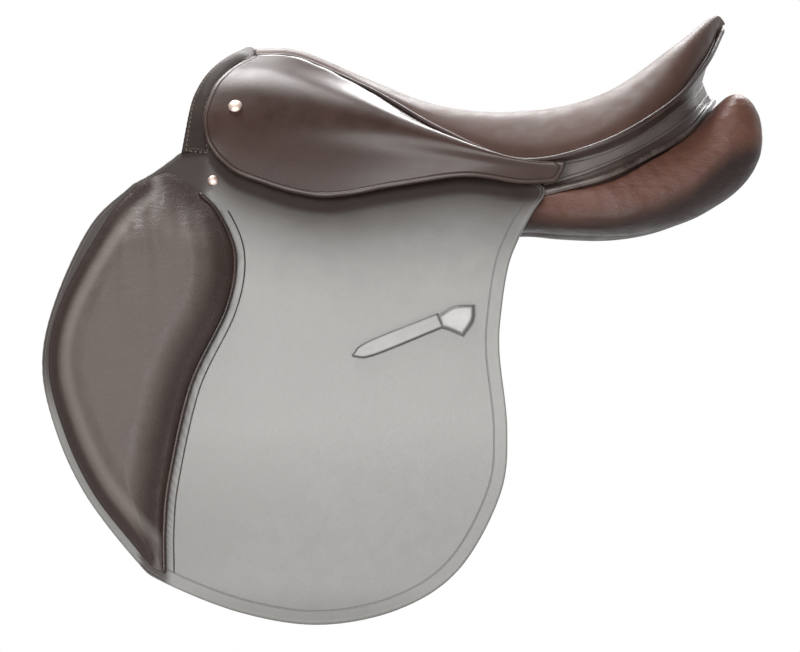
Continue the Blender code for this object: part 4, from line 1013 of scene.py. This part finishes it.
def make_panels(material):
    skin, faces = rounded(*stuffed(*panel_skin(76, 44)))
    path = along_curve(PIPING_PATH, np.linspace(0, 1, 320))
    nearest, away = nearest_on(path, skin)
    travel = travelled(path)[nearest]
    middle = np.array([np.interp(skin[:, 0], [p[0] for p in PANEL_STATIONS],
                                 [p[k] for p in PANEL_STATIONS]) for k in (1, 2)]).T
    out = np.zeros_like(skin)
    out[:, 1:] = skin[:, 1:] - middle
    out[:, 0] = np.clip(skin[:, 0] - REAR_END_START, 0, None) * 0.8
    out /= np.maximum(np.linalg.norm(out, axis=1, keepdims=True), 1e-9)
    turns = travel * 2 * math.pi / PLEAT_PITCH
    pleats = (np.sin(turns + PLEAT_SHIFT * np.sin(travel * PLEAT_WANDER))
              * np.exp(-(away / PLEAT_REACH) ** 2) * (away > 0.002))
    groove = np.exp(-(away / SEAM_GROOVE_REACH) ** 2)
    skin = skin + out * (PLEAT_DEPTH * pleats - SEAM_GROOVE * groove)[:, None]
    target = path[nearest] - np.array([0, 0, PIPING_RADIUS])
    outside = (skin[:, 0] > PIPING_PATH[0][0]) & (skin[:, 2] > middle[:, 1])
    drawn = SEAM_PULL * np.exp(-(away / SEAM_REACH) ** 2) * outside
    skin = skin + (target - skin) * drawn[:, None]
    # painted shade on the underside, darkening also towards the front
    low = smoothstep(middle[:, 1] - skin[:, 2], *UNDERSIDE_SHADE)
    shade = np.maximum(low, FRONT_DARK * (1 - smoothstep(skin[:, 0], *FRONT_DARK_END)))
    facts = {"edge": np.full(len(skin), 0.05), "line": away, "along": travel, "shade": shade}
    for label, side in SIDES.items():
        panel = new_object(label + "_panel_cover", set_side(skin, side), faces, material, facts)
        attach(panel, "saddle")
        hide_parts(label + "_panel")


# --------------------------------------------------------- sweat flaps

SWEAT_DEPTH, SWEAT_LEATHER = 0.0205, 0.003
SWEAT_TOP = [(-0.1900, -0.0020), (-0.0700, -0.0040), (0.0600, -0.0120)]
SWEAT_FRONT = [(-0.2300, -0.0300), (-0.2480, -0.0950), (-0.2270, -0.1720)]
SWEAT_BOTTOM = [(-0.1650, -0.2420), (-0.0700, -0.2700), (0.0250, -0.2350)]
SWEAT_REAR = [(0.0560, -0.0600), (0.0590, -0.1550)]


def make_sweat_flaps(material):
    us, vs = close_ends(60, 0.002), close_ends(60, 0.002)
    plan = patch(SWEAT_TOP, SWEAT_BOTTOM, [SWEAT_TOP[0], *SWEAT_FRONT, SWEAT_BOTTOM[0]],
                 [SWEAT_TOP[-1], *SWEAT_REAR, SWEAT_BOTTOM[-1]], us, vs)
    grid = on_flap(plan, SWEAT_DEPTH)
    for label, side in SIDES.items():
        flap = leather_sheet(label + "_sweat_flap_leather", grid, SWEAT_LEATHER, material, side,
                             line_borders=("rear", "bottom", "front"))
        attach(flap, "saddle")
        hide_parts(label + "_sweat_flap")


# ---------------------------------------------------- kept CAD pieces

def cad_leather(name, light, dark, rough):
    n = Nodes(name, rough, coat=0.2, coat_rough=0.3)
    place = n.add("TexCoord").outputs["Object"]
    broad, fine = n.noise(place, 30.0, 4.0), n.noise(place, 600.0, 3.0)
    cells = n.voronoi(place, 900.0)
    colour = n.mix(n.ramp(broad, 0.35, 0.65), dark, light)
    colour = n.mix(n.ramp(fine, 0.45, 0.75, 0, 0.4), colour, mixed(dark, BLACK, 0.4))
    return n.finish(colour, n.bump(cells, 0.3, 0.0004),
                    n.ramp(broad, 0.3, 0.7, rough - 0.07, rough + 0.08))


def smooth_shading(sharp_angle):
    """Modifier group that shades smooth, except over sharp edges."""
    group = bpy.data.node_groups.new("smooth_by_angle", "GeometryNodeTree")
    for way in ("INPUT", "OUTPUT"):
        group.interface.new_socket("Geometry", in_out=way, socket_type="NodeSocketGeometry")
    start, end = (group.nodes.new("NodeGroup" + way) for way in ("Input", "Output"))
    round_off = group.nodes.new("GeometryNodeSetShadeSmooth")
    keep = group.nodes.new("GeometryNodeSetShadeSmooth")
    keep.domain = "EDGE"
    keep.inputs["Shade Smooth"].default_value = False
    angle = group.nodes.new("GeometryNodeInputMeshEdgeAngle")
    sharp = group.nodes.new("ShaderNodeMath")
    sharp.operation = "GREATER_THAN"
    sharp.inputs[1].default_value = sharp_angle
    for source, target in (
            (start.outputs[0], round_off.inputs["Geometry"]),
            (angle.outputs["Unsigned Angle"], sharp.inputs[0]),
            (round_off.outputs["Geometry"], keep.inputs["Geometry"]),
            (sharp.outputs[0], keep.inputs["Selection"]),
            (keep.outputs["Geometry"], end.inputs[0])):
        group.links.new(source, target)
    return group


SHARP, WELD_REACH = math.radians(40), 0.00002


def dress_cad(looks, soft_rims):
    """Materials, soft rims and smooth shading for the CAD pieces that stay."""
    shading = smooth_shading(SHARP)
    for label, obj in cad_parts.items():
        side, _, rest = label.partition("_")
        plain = rest if side in SIDES else label
        if plain not in looks:
            continue
        for slot in obj.material_slots:
            slot.material = looks[plain]
        obj.modifiers.new("joined", "WELD").merge_threshold = WELD_REACH
        if plain in soft_rims:
            bevel = obj.modifiers.new("rims", "BEVEL")
            bevel.width, bevel.segments = soft_rims[plain], 2
            bevel.limit_method, bevel.angle_limit = "ANGLE", SHARP
            bevel.use_clamp_overlap = True
        elif "nail" in plain or "rivet" in plain:
            domed = obj.modifiers.new("domed", "SUBSURF")
            domed.levels = domed.render_levels = 2
        obj.modifiers.new("shading", "NODES").node_group = shading


# --------------------------------------------------------------- stage

CAMERA_AWAY, CAMERA_HEIGHT, LENS, SENSOR = 3.0, -0.074, 157.0, 36.0
FLOOR = (4.0, -5.0, 0.84, -0.45)  # half width, front, rear, height
WORLD_FRONT, WORLD_BELOW = 0.13, 0.3  # share of the light from there
LIGHTS = [  # name, place, aim, size, watts
    ("top", (-0.58, 0.32, 2.3), (-0.12, 0.0, 0.1), (1.1, 0.8), 54.0),
    ("rim", (0.10, 1.70, 1.5), (0.05, 0.0, 0.1), (2.2, 0.8), 60.0),
    ("front", (-0.5, -3.8, 0.7), (0.0, 0.0, -0.08), (2.6, 1.8), 105.0),
]


def make_camera():
    camera = bpy.data.objects.new("camera", bpy.data.cameras.new("camera"))
    camera.data.lens, camera.data.sensor_width = LENS, SENSOR
    camera.location = (0.0, -CAMERA_AWAY, CAMERA_HEIGHT)
    camera.rotation_euler = (math.pi / 2, 0.0, 0.0)
    bpy.context.scene.collection.objects.link(camera)
    bpy.context.scene.camera = camera
    bpy.context.scene.view_settings.view_transform = "Standard"


def make_floor():
    n = Nodes("floor_pale", 0.9)
    cloud = n.noise(n.position(), 1.2, 3.0)
    look = n.finish(n.mix(n.ramp(cloud, 0.3, 0.7), (0.52, 0.52, 0.52), (0.57, 0.57, 0.57)))
    x, front, rear, z = FLOOR
    corners = [(-x, front, z), (x, front, z), (x, rear, z), (-x, rear, z)]
    new_object("floor", corners, [(0, 1, 2, 3)], look, smooth=False)


def make_world():
    """Even white surroundings, dimmer in front of the saddle and below it."""
    world = bpy.data.worlds.new("studio")
    bpy.context.scene.world = world
    world.use_nodes = True
    tree = world.node_tree
    place = tree.nodes.new("ShaderNodeTexCoord")
    split = tree.nodes.new("ShaderNodeSeparateXYZ")
    tree.links.new(place.outputs["Generated"], split.inputs[0])
    both = tree.nodes.new("ShaderNodeMath")
    both.operation = "MULTIPLY"
    for k, (axis, way, low, high, least) in enumerate((
            ("Y", "SMOOTHSTEP", -0.35, 0.75, WORLD_FRONT),
            ("Z", "LINEAR", -0.7, -0.2, WORLD_BELOW))):
        share = tree.nodes.new("ShaderNodeMapRange")
        share.interpolation_type = way
        share.inputs["From Min"].default_value = low
        share.inputs["From Max"].default_value = high
        share.inputs["To Min"].default_value = least
        tree.links.new(split.outputs[axis], share.inputs["Value"])
        tree.links.new(share.outputs["Result"], both.inputs[k])
    back = tree.nodes["Background"]
    tree.links.new(both.outputs[0], back.inputs["Strength"])
    back.inputs["Color"].default_value = (1, 1, 1, 1)


def make_lights():
    for name, place, aim, size, power in LIGHTS:
        light = bpy.data.lights.new(name, "AREA")
        light.shape, light.size, light.size_y = "RECTANGLE", size[0], size[1]
        light.energy = power
        obj = bpy.data.objects.new(name, light)
        obj.location = place
        way = Vector(aim) - Vector(place)
        obj.rotation_euler = way.to_track_quat("-Z", "Y").to_euler()
        bpy.context.scene.collection.objects.link(obj)


# ---------------------------------------------------------------- build

seat_look = leather("seat_havana", SEAT_BROWN, mixed(SEAT_BROWN, HAVANA_DARK, 0.3),
                    rough=0.50, coat=0.0, grain=0.10, burnish=0.0, specular=0.2)
skirt_look = leather("skirt_havana", SKIRT_BROWN, mixed(SKIRT_BROWN, HAVANA_DARK, 0.4), rough=0.38,
                     coat=0.34, coat_rough=0.25, grain=0.12, specular=0.20,
                     crease=(0.0040, 0.0016, 0.0005))
# painted sheen: the flap is coloured grey for the glare on its brown leather; its shade colour
# paints the shadow under the skirt
flap_look = leather("flap_havana", FLAP_SHEEN_GREY, mixed(FLAP_SHEEN_GREY, FLAP_SHADE, 0.12),
                    rough=0.50, coat=0.08, coat_rough=0.35, grain=0.22,
                    shade_colour=FLAP_SHADE, uneven=0.06, specular=0.4,
                    crease=(FLAP_LINE, 0.0020, 0.0006))
# painted sheen on the pad's centre, painted shade on its borders, and a painted highlight band
# along its front shoulder
pad_look = leather("pad_calf", PAD_CENTRE_SHEEN, mixed(PAD_CENTRE_SHEEN, PAD_BORDER_SHADE, 0.25),
                   rough=0.55, coat=0.1, coat_rough=0.4, grain=0.45,
                   grain_scale=700.0, shade_colour=PAD_BORDER_SHADE, burnish=0.0,
                   wrinkle=0.25, uneven=0.12, specular=0.38, highlight_band=(0.0185, 0.015, 0.42))
welt_look = leather("welt_havana", mixed(HAVANA, (0.4, 0.36, 0.33), 0.25),
                    HAVANA_DARK, rough=0.4, coat=0.3, burnish=0.0)
dark_welt_look = leather("welt_dark", HAVANA, HAVANA_DARK, rough=0.42, burnish=0.0)
# painted light: the facing is lightened and greyed for its sheen and to offset the shade beneath
# the cantle
facing_look = leather("facing_havana", (0.180, 0.152, 0.141),
                      (0.115, 0.094, 0.086), rough=0.42, coat=0.2, grain=0.2,
                      crease=(0.0034, 0.0014, 0.0005))
pommel_look = leather("pommel_havana", (0.055, 0.042, 0.038),
                      (0.036, 0.027, 0.024), rough=0.5, coat=0.0, grain=0.15,
                      specular=0.06, stitch=(0.0035, 0.0042))
lining_look = leather("lining_havana", (0.072, 0.046, 0.038),
                      (0.042, 0.027, 0.023), rough=0.45, coat=0.15, grain=0.2)
panel_look = leather("panel_hide", PANEL_RED, mixed(PANEL_RED, PANEL_DARK, 0.3),
                     rough=0.48, coat=0.0, grain=0.3, grain_scale=650.0,
                     shade_colour=PANEL_DARK, burnish=0.0, specular=0.4, uneven=0.12, wrinkle=0.35)
sweat_look = leather("sweat_flap_hide", (0.075, 0.055, 0.047),
                     (0.045, 0.032, 0.027), rough=0.5, grain=0.3, stitch=(0.0045, 0.0045))
# painted sheen and shadow: the strap's brown leather is coloured grey for the glare on it, and its
# dark cut edge is widened and blackened for the shadow beneath it
strap_look = leather("keeper_bridle", (0.46, 0.45, 0.44), (0.36, 0.35, 0.34),
                     rough=0.42, burnish=0.0021, edge_black=0.92)
# painted reflection: the tab is near white for the full glare on its tilted face
tab_look = leather("keeper_tab", (0.62, 0.61, 0.60), (0.50, 0.49, 0.48),
                   rough=0.32, burnish=0.0044, edge_black=0.85)

make_seat(seat_look, dark_welt_look)
make_skirts(skirt_look)
make_flaps(flap_look)
make_knee_pads(pad_look, dark_welt_look)
make_keepers(strap_look, tab_look)
make_pommel_facing(pommel_look)
make_cantle_trim(lining_look, facing_look, welt_look)
make_panels(panel_look)
make_sweat_flaps(sweat_look)

steel = metal("forged_steel", (0.50, 0.50, 0.51), 0.38, (0.36, 0.36, 0.37))
brass = metal("rose_brass", (1.0, 0.86, 0.78), 0.48, (0.95, 0.74, 0.64), scratch=0)
beech = wood("laminated_beech")
linen = webbing("linen_web")
bridle = cad_leather("strap_bridle", (0.075, 0.048, 0.036), (0.05, 0.03, 0.023), 0.42)
pocket = cad_leather("pocket_hide", (0.05, 0.034, 0.028), (0.03, 0.02, 0.017), 0.5)
looks = {name: look for look, names in (
    (brass, ("pommel_nail", "flap_nail")),
    (steel, ("spring", "stirrup_bar", "bar_rivet_1", "bar_rivet_2",
             "bar_catch", "catch_pin", "gullet_plate")),
    (beech, ("head_arch", "cantle_board", "tree_rail")),
    (foam("seat_foam"), ("seat_foam",)),
    (linen, ("front_girth_web", "rear_girth_web", "seat_web")),
    (bridle, ("girth_strap_1", "girth_strap_2", "girth_strap_3")),
    (pocket, ("buckle_guard", "point_pocket"))) for name in names}
rims = {name: width for width, names in (
    (0.0004, ("spring", "bar_catch")),
    (0.0005, ("buckle_guard", "point_pocket", "gullet_plate")),
    (0.0006, ("stirrup_bar",)),
    (0.0008, ("girth_strap_1", "girth_strap_2", "girth_strap_3")),
    (0.0010, ("cantle_board",)),
    (0.0012, ("head_arch", "tree_rail"))) for name in names}
dress_cad(looks, rims)
make_camera()
make_floor()
make_world()
make_lights()
